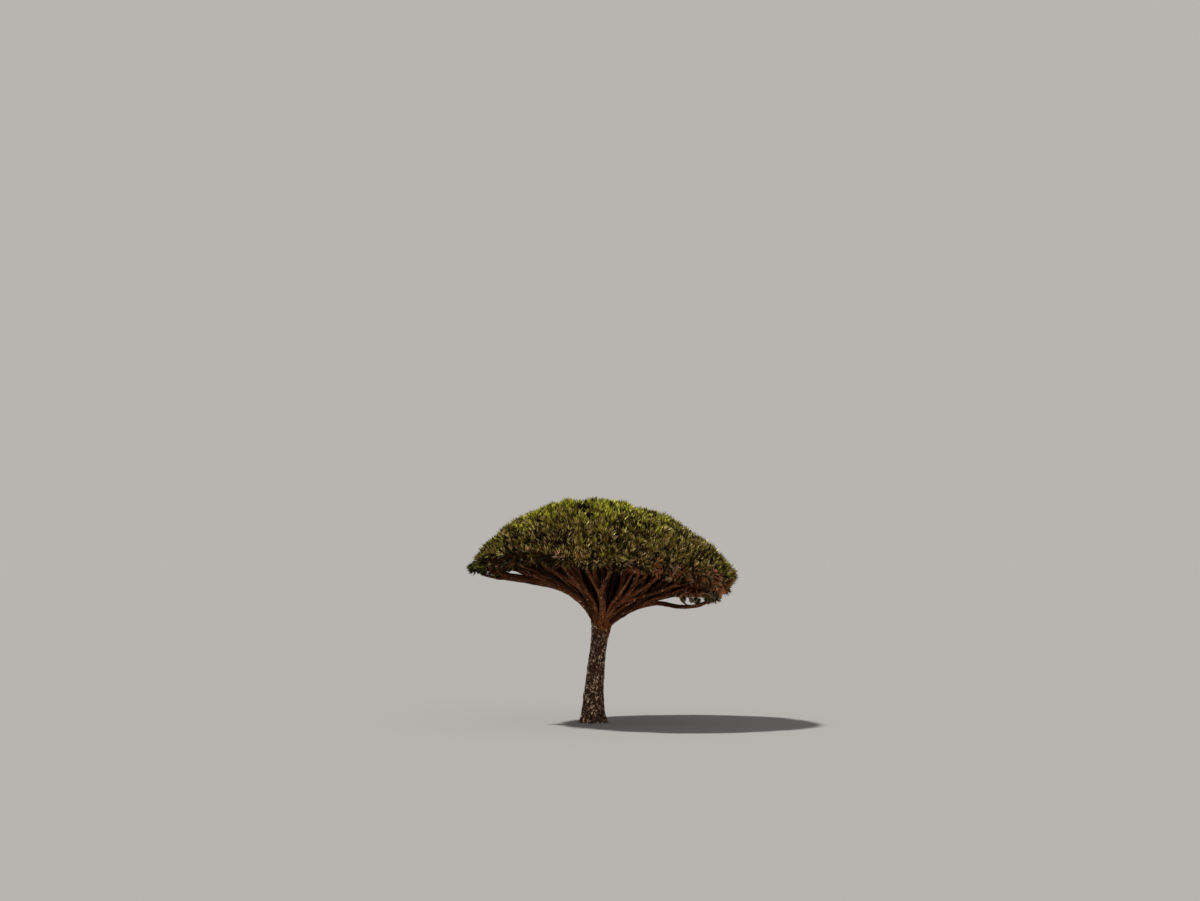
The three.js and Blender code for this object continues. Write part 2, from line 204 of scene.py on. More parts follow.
def smooth_path(points, per=5):
    """A Catmull-Rom curve through the points."""
    p = np.asarray(points, float)
    q = np.vstack([2 * p[0] - p[1], p, 2 * p[-1] - p[-2]])
    out = []
    for i in range(1, len(q) - 2):
        for k in range(per):
            t = k / per
            a, b, c, d = q[i - 1], q[i], q[i + 1], q[i + 2]
            out.append(
                0.5
                * (
                    2 * b
                    + (c - a) * t
                    + (2 * a - 5 * b + 4 * c - d) * t * t
                    + (3 * b - a - 3 * c + d) * t**3
                )
            )
    out.append(p[-1])
    return np.array(out)


def on_crown(v):
    a = math.atan2(v[1], v[0] - CROWN_X)
    return a, math.hypot(v[0] - CROWN_X, v[1]) / float(crown_radius(a))


limbs = {}  # name -> (points, radii)


def add_limb(name, points, r0, r1):
    p = smooth_path(points, 5)
    t = np.linspace(0, 1, len(p))
    limbs[name] = (p, mix(r0, r1, t**0.85))


def climb(name, start, along, to, r0, r1, lift, steps):
    length = np.linalg.norm(to - start)
    straight = unit(to - start)
    out = unit(along * 0.65 + straight * 0.5)
    up = unit(straight + np.array([0, 0, lift]))
    pts = bezier(start, start + out * length * 0.34, to - up * length * 0.3, to, steps + 1)
    add_limb(name, pts, r0, r1)


forks = []
for k in range(BOUGHS):
    a0 = math.radians(-90 + k * 36 + 5 * jit(k, 5))
    lift = 1.1 if k % 2 else 0.98
    fork_r = 1.230 * (1 + 0.09 * jit(k, 6)) * (0.92 if k % 2 else 1.06)
    pts = []
    for i in range(6):
        t = i / 5
        r = mix(0.12, fork_r, t)
        a = a0 + math.radians(3.5) * jit(k, 7) * math.sin(t * 3.4)
        pts.append(polar(a, r, bough_z(a, r, lift)))
    add_limb("bough_%02d" % (k + 1), pts, 0.120, 0.090)
    end, last = pts[5], pts[4]
    forks.append(
        dict(
            end=mix(end, last, 0.3),
            along=unit(end - last),
            a=math.atan2(end[1] - HEAD[1], end[0] - HEAD[0]),
        )
    )

for k, f in enumerate(forks):
    for j, side in enumerate((-1, 1)):
        a = f["a"] + math.radians(side * 9.5 + 1.5 * jit(k, 8 + j))
        r = 3.180 - 0.130 * math.cos(a) + 0.160 * jit(k, 10 + j)
        to = polar(a, r, 0)
        ca, share = on_crown(to)
        to[2] = under_z(share, ca) + BURY
        climb("limb_%02d%s" % (k + 1, "ab"[j]), f["end"], f["along"], to, 0.078, 0.050, 0.25, 5)

for k in range(5):
    ca = math.atan2(cells[1 + k][1] - HEAD[1], cells[1 + k][0] - HEAD[0])
    best = max(range(BOUGHS), key=lambda i: math.cos(forks[i]["a"] - ca))
    to = polar(ca, 1.780, 0)
    aa, share = on_crown(to)
    to[2] = under_z(share, aa) + BURY
    along = unit(forks[best]["along"] + np.array([0, 0, 0.8]))
    climb("riser_%d" % (k + 1), forks[best]["end"], along, to, 0.074, 0.050, 0.1, 4)

for k, d in enumerate((-60, 125)):
    a = math.radians(d)
    start = polar(a, 0.06, 3.250)
    to = polar(math.radians(d + 8), 0.520, UNDER_Z + BURY - 0.04)
    along = unit(np.array([0.16 * math.cos(a), 0.16 * math.sin(a), 1]))
    climb("inner_bough_%d" % (k + 1), start, along, to, 0.104, 0.062, 0.3, 5)

LOW_LEFT_A, LOW_RIGHT_A = math.radians(184), math.radians(-7)


def nearest_fork(a):
    return max(forks, key=lambda f: math.cos(f["a"] - a))


add_limb(
    "low_bough_left",
    [nearest_fork(LOW_LEFT_A)["end"]]
    + [
        polar(LOW_LEFT_A, r, z)
        for r, z in ((1.64, 4.345), (2.28, 4.465), (2.85, 4.55), (3.4, 4.615), (3.78, 4.71), (3.96, 4.815))
    ],
    0.080,
    0.042,
)
add_limb(
    "low_bough_right",
    [nearest_fork(LOW_RIGHT_A)["end"]]
    + [
        polar(LOW_RIGHT_A, r, z)
        for r, z in ((1.72, 3.8), (2.13, 3.745), (2.45, 3.69), (2.85, 3.695), (3.16, 3.755), (3.42, 3.87))
    ],
    0.084,
    0.056,
)

cad_limbs = list(limbs)

# Between the main limbs stand thinner stems, in layers: from the boughs to the
# dome's middle, from the head to its top, and two flat bundles, left and right.
for k, f in enumerate(forks):
    pts, rad = limbs["bough_%02d" % (k + 1)]
    i = int(0.80 * (len(pts) - 1))
    for j, side in enumerate((-1, 1)):
        a = f["a"] + math.radians(side * 5.0 + 2.2 * jit(k, 20 + j))
        to = polar(a, 2.42 + 0.17 * jit(k, 22 + j), 0)
        ca, share = on_crown(to)
        to[2] = under_z(share, ca) + BURY
        along = unit(unit(pts[i + 1] - pts[i]) + np.array([0, 0, 0.25]))
        climb("stem_upper_%02d%s" % (k + 1, "ab"[j]), pts[i - 2 * j], along, to, 0.062, 0.044, 0.2, 6)
    i = int(0.56 * (len(pts) - 1))
    a = f["a"] + math.radians(8 * jit(k, 24))
    to = polar(a, 1.70 + 0.13 * jit(k, 25), 0)
    ca, share = on_crown(to)
    to[2] = under_z(share, ca) + BURY
    along = unit(unit(pts[i + 1] - pts[i]) + np.array([0, 0, 0.5]))
    climb("stem_mid_%02d" % (k + 1), pts[i], along, to, 0.068, 0.047, 0.25, 6)
for k in range(11):
    a = math.radians(20 + 360 / 11 * k + 7 * jit(k, 30))
    start = polar(a, 0.09, 3.28)
    to = polar(a + math.radians(8 * jit(k, 31)), 1.02 + 0.14 * jit(k, 32), 0)
    ca, share = on_crown(to)
    to[2] = under_z(share, ca) + BURY
    along = unit(np.array([0.42 * math.cos(a), 0.42 * math.sin(a), 1]))
    climb("stem_inner_%02d" % (k + 1), start, along, to, 0.092, 0.055, 0.35, 6)

LOW_LEFT_Z = ((1.20, 4.20), (1.64, 4.345), (2.28, 4.465), (2.85, 4.55), (3.4, 4.615), (3.78, 4.71))
for k, (da, low, high, reach) in enumerate(
    (
        (-9, 0.06, 0.05, 3.55),
        (8, 0.03, 0.04, 3.62),
        (16, 0.07, 0.06, 3.42),
        (-17, 0.10, 0.08, 3.40),
        (-4, 0.14, 0.46, 3.30),
        (5, 0.20, 0.52, 3.45),
        (13, 0.16, 0.44, 3.25),
        (-13, 0.22, 0.50, 3.20),
        (23, 0.16, 0.36, 3.20),
        (31, 0.22, 0.48, 3.25),
        (-6, 0.10, 0.12, 3.70),
        (11, 0.12, 0.13, 3.66),
        (2, 0.08, 0.10, 3.74),
        (-12, 0.13, 0.15, 3.60),
    )
):
    a1 = LOW_LEFT_A + math.radians(da)
    f = nearest_fork(a1)
    turn = math.atan2(math.sin(f["a"] - a1), math.cos(f["a"] - a1))
    pts = [f["end"]]
    for i, r in enumerate((1.75, 2.2, 2.65, 3.05, reach)):
        z = np.interp(r, [q[0] for q in LOW_LEFT_Z], [q[1] for q in LOW_LEFT_Z])
        t = min(max((r - 2.15) / 0.75, 0), 1)
        z += mix(low, high * (0.84 if high > 0.3 else 1), t * t * (3 - 2 * t)) + (0.07 if r == reach else 0)
        wave = 0.018 * math.sin(2.1 * r + 1.7 * k)
        pts.append(polar(a1 + turn * 0.45 * math.exp(-(r - 1.3) * 1.6) + wave, r, z))
    add_limb("stem_left_%02d" % (k + 1), pts, 0.060, 0.036)

for k, (da, z1, z2, reach) in enumerate(
    (
        (-26, 4.12, 4.46, 3.30),
        (-17, 4.08, 4.36, 3.45),
        (-9, 4.10, 4.28, 3.55),
        (0, 4.13, 4.36, 3.50),
        (9, 4.08, 4.25, 3.60),
        (19, 4.13, 4.30, 3.50),
        (29, 4.07, 4.20, 3.60),
        (40, 4.12, 4.24, 3.45),
        (52, 4.10, 4.22, 3.50),
        (66, 4.16, 4.28, 3.45),
        (80, 4.22, 4.40, 3.40),
        (-38, 4.22, 4.58, 3.25),
    )
):
    a1 = math.radians(da)
    f = nearest_fork(a1)
    turn = math.atan2(math.sin(f["a"] - a1), math.cos(f["a"] - a1))
    pts = [f["end"]]
    z0 = f["end"][2]
    for r in (1.75, 2.25, 2.75, 3.15, reach):
        t = (r - 1.2) / 1.3
        z = mix(z0 + 0.08, z1, min(t, 1)) if r < 2.5 else mix(z1, z2, (r - 2.5) / (reach - 2.5))
        wave = 0.02 * math.sin(2.3 * r + 2.1 * k)
        pts.append(polar(a1 + turn * 0.45 * math.exp(-(r - 1.3) * 1.6) + wave, r, z))
    add_limb("stem_right_%02d" % (k + 1), pts, 0.060, 0.036)

for k, da in enumerate((90, 99, 108, 117, 126, 135, 144, 153)):
    a1 = math.radians(da + 3 * jit(k, 40))
    f = nearest_fork(a1)
    turn = math.atan2(math.sin(f["a"] - a1), math.cos(f["a"] - a1))
    z0, z1 = f["end"][2], 4.36 + 0.012 * (da - 90) / 9 + 0.05 * jit(k, 41)
    pts = [f["end"]]
    for r in (1.75, 2.25, 2.75, 3.2, 3.5):
        z = mix(z0 + 0.06, z1, min((r - 1.2) / 1.3, 1)) if r < 2.5 else z1 + 0.28 * (r - 2.5)
        pts.append(polar(a1 + turn * 0.45 * math.exp(-(r - 1.3) * 1.6), r, z))
    add_limb("stem_back_%02d" % (k + 1), pts, 0.060, 0.036)


# Between the back boughs, so that they close behind the front ones.
for k, da in enumerate((36, 0, 72, 108, 144, 180, 216, -36, 27, 46)):
    a1 = math.radians(da + 3 * jit(k, 50))
    pts = []
    for r in (0.13, 0.38, 0.66, 0.95, 1.25):
        pts.append(polar(a1, r, bough_z(a1, r, 1.03) + 0.02 * jit(k, 51)))
    to = polar(a1 + 0.06 * jit(k, 52), 2.80 + 0.2 * jit(k, 53), 0)
    ca, share = on_crown(to)
    to[2] = under_z(share, ca) + BURY
    pts += list(bezier(pts[-1], pts[-1] + (pts[-1] - pts[-2]) * 1.6, to - np.array([0.2 * math.cos(a1), 0.2 * math.sin(a1), 0.35]), to, 5)[1:])
    add_limb("stem_between_%02d" % (k + 1), pts, 0.088, 0.042)
for k in range(18):
    a1 = math.radians(5 + 10.5 * k + 5 * jit(k, 60))
    f = max(range(BOUGHS), key=lambda i: math.cos(forks[i]["a"] - a1))
    pts, rad = limbs["bough_%02d" % (f + 1)]
    i = int((0.35 + 0.45 * (0.5 + 0.5 * jit(k, 61))) * (len(pts) - 1))
    to = polar(a1, 1.55 + 0.65 * (0.5 + 0.5 * jit(k, 62)), 0)
    ca, share = on_crown(to)
    to[2] = under_z(share, ca) + BURY
    along = unit(unit(pts[i + 1] - pts[i]) + np.array([0, 0, 0.35]))
    climb("stem_fill_%02d" % (k + 1), pts[i], along, to, 0.064, 0.044, 0.25, 6)


# In front, thin and close together, most of them left of the middle.
for k, da in enumerate((-174, -166, -157, -149, -142, -121, -115, -96, -83, -69, -42)):
    a1 = math.radians(da + 2.5 * jit(k, 70))
    lift = 1.03 + 0.065 * (k % 3)
    pts = []
    for r in (0.15, 0.40, 0.68, 0.96, 1.25):
        pts.append(polar(a1 + 0.05 * math.sin(2.4 * r + k), r, bough_z(a1, r, lift)))
    to = polar(a1 + 0.07 * jit(k, 71), 2.45 + 0.35 * jit(k, 72), 0)
    ca, share = on_crown(to)
    to[2] = under_z(share, ca) + BURY
    pts += list(bezier(pts[-1], pts[-1] + (pts[-1] - pts[-2]) * 1.6, to - np.array([0.2 * math.cos(a1), 0.2 * math.sin(a1), 0.30]), to, 5)[1:])
    add_limb("stem_front_%02d" % (k + 1), pts, 0.062, 0.040)


for k, pts in enumerate(
    (
        ((0.20, 0.10, 3.30), (-0.02, 0.40, 4.00), (-0.42, 0.70, 4.46), (-0.66, 0.95, 4.77), (-0.92, 1.20, 5.25)),
        ((0.35, 0.15, 3.30), (0.42, 0.50, 4.00), (0.54, 0.80, 4.52), (0.66, 1.10, 5.30)),
        ((0.10, 0.12, 3.30), (-0.25, 0.45, 4.05), (-0.75, 0.80, 4.62), (-1.20, 1.10, 4.98), (-1.60, 1.30, 5.30)),
        ((0.40, 0.10, 3.30), (0.55, 0.50, 4.00), (0.80, 0.85, 4.57), (0.98, 1.15, 5.30)),
        ((0.46, 0.12, 3.32), (0.78, 0.45, 3.90), (1.21, 0.85, 4.30), (1.62, 1.20, 4.66), (1.90, 1.40, 5.05)),
        ((0.05, 0.15, 3.35), (-0.50, 0.55, 4.15), (-1.15, 0.85, 4.58), (-1.72, 1.10, 4.84), (-2.20, 1.30, 5.20)),
        ((0.48, 0.10, 3.32), (0.88, 0.50, 3.93), (1.36, 0.90, 4.24), (1.80, 1.25, 4.52), (2.15, 1.50, 4.90)),
        ((0.38, 0.12, 3.30), (0.46, 0.48, 3.80), (0.56, 0.85, 4.20), (0.64, 1.10, 4.62), (0.72, 1.30, 5.20)),
    )
):
    add_limb("stem_spot_%d" % (k + 1), [np.array(q) for q in pts], 0.090, 0.060)


# ---------------------------------------------------------------- trunk
def lean_at(z):
    return 0.300 * (np.maximum(z, 0) / 3.140) ** 1.7


def trunk_radius(z):
    r = 0.255 + 0.145 * np.exp(-((np.maximum(z, 0) / 1.05) ** 1.3))
    r = r + 0.130 * np.exp(-((np.maximum(3.35 - z, 0) / 0.38) ** 1.5))
    r = r + 0.060 * np.exp(-np.maximum(z, 0) / 0.17)
    t = np.clip((z - 3.35) / 0.21, 0, 1)
    return r * np.sqrt(np.maximum(1 - t * t, 0))


def trunk_lobes(z, a):
    zz = np.maximum(z, 0)
    root = 0.13 * np.exp(-zz / 0.42) * (0.6 * np.cos(5 * a + 0.6) + 0.5 * np.cos(3 * a - 1.0))
    return 1 + root + 0.02 * np.cos(7 * a + z * 0.8)


# ---------------------------------------------------------------- mesh helpers
def new_mesh(name, verts, faces, mat_index=None, smooth=True):
    """A mesh object from N x 3 vertices and a list of equal-length face arrays."""
    me = bpy.data.meshes.new(name)
    verts = np.ascontiguousarray(verts, dtype=np.float32)
    faces = [np.ascontiguousarray(f, dtype=np.int32) for f in faces if len(f)]
    loops = np.concatenate([f.ravel() for f in faces])
    totals = np.concatenate([np.full(len(f), f.shape[1], np.int32) for f in faces])
    starts = np.concatenate([[0], np.cumsum(totals)[:-1]]).astype(np.int32)
    me.vertices.add(len(verts))
    me.vertices.foreach_set("co", verts.ravel())
    me.loops.add(len(loops))
    me.loops.foreach_set("vertex_index", loops)
    me.polygons.add(len(totals))
    me.polygons.foreach_set("loop_start", starts)
    me.polygons.foreach_set("loop_total", totals)
    me.polygons.foreach_set("use_smooth", np.full(len(totals), smooth, dtype=bool))
    if mat_index is not None:
        me.polygons.foreach_set("material_index", np.ascontiguousarray(mat_index, dtype=np.int32))
    me.update(calc_edges=True)
    ob = bpy.data.objects.new(name, me)
    bpy.context.collection.objects.link(ob)
    return ob


def tube(points, radii, sides, turn=0.0, round_end=True, bumps=None):
    """Vertices, quads and triangles of a closed tube."""
    p = np.asarray(points, float)
    r = np.asarray(radii, float)
    n = len(p)
    tan = np.gradient(p, axis=0)
    tan = unit(tan)
    side = np.cross(tan[0], [0.13, 0.29, 1.0])
    if np.linalg.norm(side) < 0.1:
        side = np.cross(tan[0], [1.0, 0.2, 0.1])
    side = unit(side)
    ang = np.arange(sides) * 2 * math.pi / sides + turn
    ca, sa = np.cos(ang)[:, None], np.sin(ang)[:, None]
    rings = []
    for k in range(n):
        side = unit(side - tan[k] * np.dot(side, tan[k]))
        up = np.cross(tan[k], side)
        rr = r[k] if bumps is None else (r[k] * bumps[k])[:, None]
        rings.append(p[k] + rr * (ca * side + sa * up))
    v = np.concatenate(rings)
    tip0 = p[0] - tan[0] * r[0] * 0.3
    tip1 = p[-1] + tan[-1] * r[-1] * (0.5 if round_end else 0.1)
    v = np.vstack([v, tip0, tip1])
    i = np.arange(sides)
    j = (i + 1) % sides
    quads = np.concatenate(
        [np.stack([k * sides + i, k * sides + j, (k + 1) * sides + j, (k + 1) * sides + i], 1) for k in range(n - 1)]
    )
    t0 = np.stack([np.full(sides, n * sides), j, i], 1)
    t1 = np.stack([np.full(sides, n * sides + 1), (n - 1) * sides + i, (n - 1) * sides + j], 1)
    return v, quads, np.concatenate([t0, t1])


def join_tubes(parts):
    vs, qs, ts, off = [], [], [], 0
    for v, q, t in parts:
        vs.append(v)
        qs.append(q + off)
        ts.append(t + off)
        off += len(v)
    return np.concatenate(vs), np.concatenate(qs), np.concatenate(ts)


def evaluated_mesh(ob):
    deps = bpy.context.evaluated_depsgraph_get()
    ev = ob.evaluated_get(deps)
    me = bpy.data.meshes.new_from_object(ev)
    return me


def remeshed(name, parts, voxel, relax):
    """One skin round all the closed tubes, with the joints between them rounded off."""
    v, q, t = join_tubes(parts)
    ob = new_mesh(name, v, [q, t])
    m = ob.modifiers.new("skin", "REMESH")
    m.mode = "VOXEL"
    m.voxel_size = voxel
    m.use_smooth_shade = True
    s = ob.modifiers.new("relax", "SMOOTH")
    s.factor = 0.5
    s.iterations = relax
    me = evaluated_mesh(ob)
    ob.modifiers.clear()
    old = ob.data
    ob.data = me
    bpy.data.meshes.remove(old)
    me.name = name
    return ob


def coords(me):
    co = np.empty(len(me.vertices) * 3, np.float32)
    me.vertices.foreach_get("co", co)
    return co.reshape(-1, 3).astype(float)


def normals(me):
    no = np.empty(len(me.vertices) * 3, np.float32)
    me.vertex_normals.foreach_get("vector", no)
    return no.reshape(-1, 3).astype(float)


def set_coords(me, co):
    me.vertices.foreach_set("co", np.ascontiguousarray(co, dtype=np.float32).ravel())
    me.update()


# ---------------------------------------------------------------- materials
def principled(name, color=(0.5, 0.5, 0.5), rough=0.6, spec=0.5):
    m = bpy.data.materials.new(name)
    m.use_nodes = True
    b = m.node_tree.nodes["Principled BSDF"]
    b.inputs["Base Color"].default_value = (*color, 1)
    b.inputs["Roughness"].default_value = rough
    b.inputs["Specular IOR Level"].default_value = spec
    return m, b


def ramp(nt, stops):
    n = nt.nodes.new("ShaderNodeValToRGB")
    e = n.color_ramp.elements
    while len(e) > 1:
        e.remove(e[-1])
    e[0].position, e[0].color = stops[0][0], (*stops[0][1], 1)
    for pos, col in stops[1:]:
        x = e.new(pos)
        x.color = (*col, 1)
    return n


def bark(name, deep, mid, high, fleck, red, plates, streak, fleck_at, scab, bands):
    """Bark in the stem's own directions: streaks and plates along it, broad
    patches of another tone, dark clefts and pale flecks."""
    m, b = principled(name, rough=0.86, spec=0.10)
    nt = m.node_tree
    L = nt.links
    at = nt.nodes.new("ShaderNodeAttribute")
    at.attribute_name = "grain"

    def mapped(scale):
        mp = nt.nodes.new("ShaderNodeMapping")
        mp.inputs["Scale"].default_value = scale
        L.new(at.outputs["Vector"], mp.inputs["Vector"])
        return mp.outputs["Vector"]

    long = mapped((1, 1, streak))
    even = mapped((1, 1, 0.8))

    def noise_node(vector, scale, detail, rough=0.6, distort=0.0):
        n = nt.nodes.new("ShaderNodeTexNoise")
        n.inputs["Scale"].default_value = scale
        n.inputs["Detail"].default_value = detail
        n.inputs["Roughness"].default_value = rough
        n.inputs["Distortion"].default_value = distort
        L.new(vector, n.inputs["Vector"])
        return n

    def blend(kind, fac, a, bb):
        n = nt.nodes.new("ShaderNodeMix")
        n.data_type = "RGBA"
        n.blend_type = kind
        if isinstance(fac, float):
            n.inputs["Factor"].default_value = fac
        else:
            L.new(fac, n.inputs["Factor"])
        for sock, v in (("A", a), ("B", bb)):
            if isinstance(v, tuple):
                n.inputs[sock].default_value = (*v, 1)
            else:
                L.new(v, n.inputs[sock])
        return n.outputs["Result"]

    broad = noise_node(even, 3.1, 3, 0.55, 0.5)
    fine = noise_node(long, 24, 6, 0.68, 0.5)
    grit = noise_node(even, 85, 4, 0.7)
    base = ramp(nt, [(0.28, deep), (0.46, mid), (0.70, high)])
    L.new(fine.outputs["Fac"], base.inputs["Fac"])
    where = ramp(nt, [(0.42, (0, 0, 0)), (0.60, (1, 1, 1))])
    L.new(broad.outputs["Fac"], where.inputs["Fac"])
    red_ramp = ramp(nt, [(0.30, tuple(c * 0.4 for c in red)), (0.62, red)])
    L.new(fine.outputs["Fac"], red_ramp.inputs["Fac"])
    colour = blend("MIX", where.outputs["Color"], base.outputs["Color"], red_ramp.outputs["Color"])
    # broad dark and light bands along the stem
    band = noise_node(long, 9.0, 2, 0.5, 0.4)
    banded = ramp(nt, [(0.38, (0.20, 0.16, 0.15)), (0.56, (1, 1, 1))])
    L.new(band.outputs["Fac"], banded.inputs["Fac"])
    colour = blend("MULTIPLY", bands, colour, banded.outputs["Color"])
    # plates with dark edges
    vor = nt.nodes.new("ShaderNodeTexVoronoi")
    vor.feature = "DISTANCE_TO_EDGE"
    vor.inputs["Scale"].default_value = plates
    L.new(even, vor.inputs["Vector"])
    edge = ramp(nt, [(0.0, (0.30, 0.27, 0.25)), (0.10, (1, 1, 1))])
    L.new(vor.outputs["Distance"], edge.inputs["Fac"])
    colour = blend("MULTIPLY", 0.8, colour, edge.outputs["Color"])
    # pale scabs of old bark and dark pits between them
    size, at_level, amount = scab
    lumps = noise_node(even, size, 2.5, 0.55, 1.1)
    pale = ramp(nt, [(at_level, (0, 0, 0)), (at_level + 0.075, (amount, amount, amount))])
    L.new(lumps.outputs["Fac"], pale.inputs["Fac"])
    zone = noise_node(even, 2.7, 2, 0.5, 0.3)
    zones = ramp(nt, [(0.36, (0.25, 0.25, 0.25)), (0.58, (1, 1, 1))])
    L.new(zone.outputs["Fac"], zones.inputs["Fac"])
    scabs = nt.nodes.new("ShaderNodeMath")
    scabs.operation = "MULTIPLY"
    L.new(pale.outputs["Color"], scabs.inputs[0])
    L.new(zones.outputs["Color"], scabs.inputs[1])
    scab_tone = ramp(nt, [(0.38, tuple(c * 0.22 for c in fleck)), (0.60, fleck)])
    L.new(fine.outputs["Fac"], scab_tone.inputs["Fac"])
    colour = blend("MIX", scabs.outputs["Value"], colour, scab_tone.outputs["Color"])
    pit = noise_node(even, size * 1.45, 3, 0.6, 0.9)
    pits = ramp(nt, [(0.40, (0.14, 0.12, 0.11)), (0.49, (1, 1, 1))])
    L.new(pit.outputs["Fac"], pits.inputs["Fac"])
    colour = blend("MULTIPLY", amount, colour, pits.outputs["Color"])
    # pale flecks, thickest in some places
    spot = nt.nodes.new("ShaderNodeTexVoronoi")
    spot.feature = "F1"
    spot.inputs["Scale"].default_value = plates * 1.35
    L.new(even, spot.inputs["Vector"])
    dots = ramp(nt, [(0.20, (1, 1, 1)), (0.30, (0, 0, 0))])
    L.new(spot.outputs["Distance"], dots.inputs["Fac"])
    some = noise_node(even, 9.0, 2, 0.5)
    patch = ramp(nt, [(fleck_at - 0.05, (0, 0, 0)), (fleck_at, (1, 1, 1))])
    L.new(some.outputs["Fac"], patch.inputs["Fac"])
    both = nt.nodes.new("ShaderNodeMath")
    both.operation = "MULTIPLY"
    L.new(dots.outputs["Color"], both.inputs[0])
    L.new(patch.outputs["Color"], both.inputs[1])
    colour = blend("MIX", both.outputs["Value"], colour, fleck)
    dust = ramp(nt, [(0.62, (0, 0, 0)), (0.72, (0.7, 0.7, 0.7))])
    L.new(grit.outputs["Fac"], dust.inputs["Fac"])
    colour = blend("MIX", dust.outputs["Color"], colour, fleck)
    L.new(colour, b.inputs["Base Color"])
    rough = ramp(nt, [(0.3, (0.95, 0.95, 0.95)), (0.7, (0.72, 0.72, 0.72))])
    L.new(fine.outputs["Fac"], rough.inputs["Fac"])
    L.new(rough.outputs["Color"], b.inputs["Roughness"])
    bump = nt.nodes.new("ShaderNodeBump")
    bump.inputs["Strength"].default_value = 0.8
    bump.inputs["Distance"].default_value = 0.012
    L.new(fine.outputs["Fac"], bump.inputs["Height"])
    b2 = nt.nodes.new("ShaderNodeBump")
    b2.inputs["Strength"].default_value = 0.6
    b2.inputs["Distance"].default_value = 0.010
    L.new(edge.outputs["Color"], b2.inputs["Height"])
    b3 = nt.nodes.new("ShaderNodeBump")
    b3.inputs["Strength"].default_value = 0.7
    b3.inputs["Distance"].default_value = 0.012
    L.new(lumps.outputs["Fac"], b3.inputs["Height"])
    L.new(b2.outputs["Normal"], b3.inputs["Normal"])
    L.new(bump.outputs["Normal"], b2.inputs["Normal"])
    b4 = nt.nodes.new("ShaderNodeBump")
    b4.inputs["Strength"].default_value = 0.8
    b4.inputs["Distance"].default_value = 0.03
    L.new(band.outputs["Fac"], b4.inputs["Height"])
    L.new(b3.outputs["Normal"], b4.inputs["Normal"])
    L.new(b4.outputs["Normal"], b.inputs["Normal"])
    return m


trunk_bark = bark(
    "trunk_bark",
    deep=(0.010, 0.005, 0.003),
    mid=(0.054, 0.026, 0.014),
    high=(0.178, 0.094, 0.053),
    fleck=(0.98, 0.70, 0.51),
    red=(0.095, 0.036, 0.016),
    plates=13,
    streak=0.5,
    fleck_at=0.57,
    scab=(8.6, 0.548, 1.0),
    bands=0.35,
)
neck_bark = bark(
    "neck_bark",
    deep=(0.010, 0.004, 0.002),
    mid=(0.074, 0.032, 0.015),
    high=(0.225, 0.105, 0.049),
    fleck=(0.84, 0.56, 0.37),
    red=(0.150, 0.048, 0.016),
    plates=13,
    streak=0.25,
    fleck_at=0.58,
    scab=(9.5, 0.56, 0.85),
    bands=0.6,
)
bough_bark = bark(
    "bough_bark",
    deep=(0.014, 0.0045, 0.0018),
    mid=(0.166, 0.051, 0.0148),
    high=(0.600, 0.220, 0.076),
    fleck=(0.86, 0.52, 0.32),
    red=(0.275, 0.074, 0.018),
    plates=11,
    streak=0.10,
    fleck_at=0.58,
    scab=(9.0, 0.66, 0.30),
    bands=0.90,
)
# A darker copy of the bough bark, painted shade, for the stems and limbs in the crown's shade.
stem_bark = bark(
    "stem_bark",
    deep=(0.008, 0.0025, 0.001),
    mid=(0.102, 0.030, 0.0088),
    high=(0.350, 0.118, 0.038),
    fleck=(0.70, 0.41, 0.24),
    red=(0.165, 0.044, 0.012),
    plates=13,
    streak=0.12,
    fleck_at=0.60,
    scab=(11.0, 0.66, 0.30),
    bands=0.85,
)
# Darker still, painted shade, for the stems deep inside the fan.
deep_shade_bark = bark(
    "deep_shade_bark",
    deep=(0.004, 0.0013, 0.0006),
    mid=(0.050, 0.0155, 0.0050),
    high=(0.155, 0.052, 0.0170),
    fleck=(0.36, 0.20, 0.110),
    red=(0.075, 0.020, 0.006),
    plates=13,
    streak=0.12,
    fleck_at=0.62,
    scab=(11.0, 0.68, 0.25),
    bands=0.85,
)
BRANCH_TONES = [(0.140, 0.042, 0.012), (0.085, 0.025, 0.007), (0.270, 0.088, 0.028), (0.045, 0.014, 0.005)]
branch_mats = [principled("branch_tone_%d" % (i + 1), c, 0.85, 0.10)[0] for i, c in enumerate(BRANCH_TONES)]

# Leaf colours, dealt out by rosette and by the age of the leaf in it.
LEAVES = {
    "lime": (0.560, 0.570, 0.050),
    "fresh": (0.310, 0.300, 0.030),
    "green": (0.115, 0.122, 0.016),
    "olive": (0.196, 0.134, 0.025),
    "khaki": (0.525, 0.393, 0.156),
    # Near black: old leaves, and painted shade between and inside the rosettes.
    "old_and_shade": (0.015, 0.0085, 0.0027),
    "bronze": (0.088, 0.044, 0.010),
    "rust": (0.435, 0.142, 0.038),
    "straw": (0.480, 0.360, 0.210),
    "pink": (0.720, 0.400, 0.245),
}
leaf_names = list(LEAVES)
leaf_mats = [
    principled("leaf_" + n, c, 0.75 if n in ("straw", "rust", "pink", "old_and_shade", "bronze") else 0.46, 0.12 if max(c) < 0.2 else 0.30)[0]
    for n, c in LEAVES.items()
]
LI = {n: i for i, n in enumerate(leaf_names)}

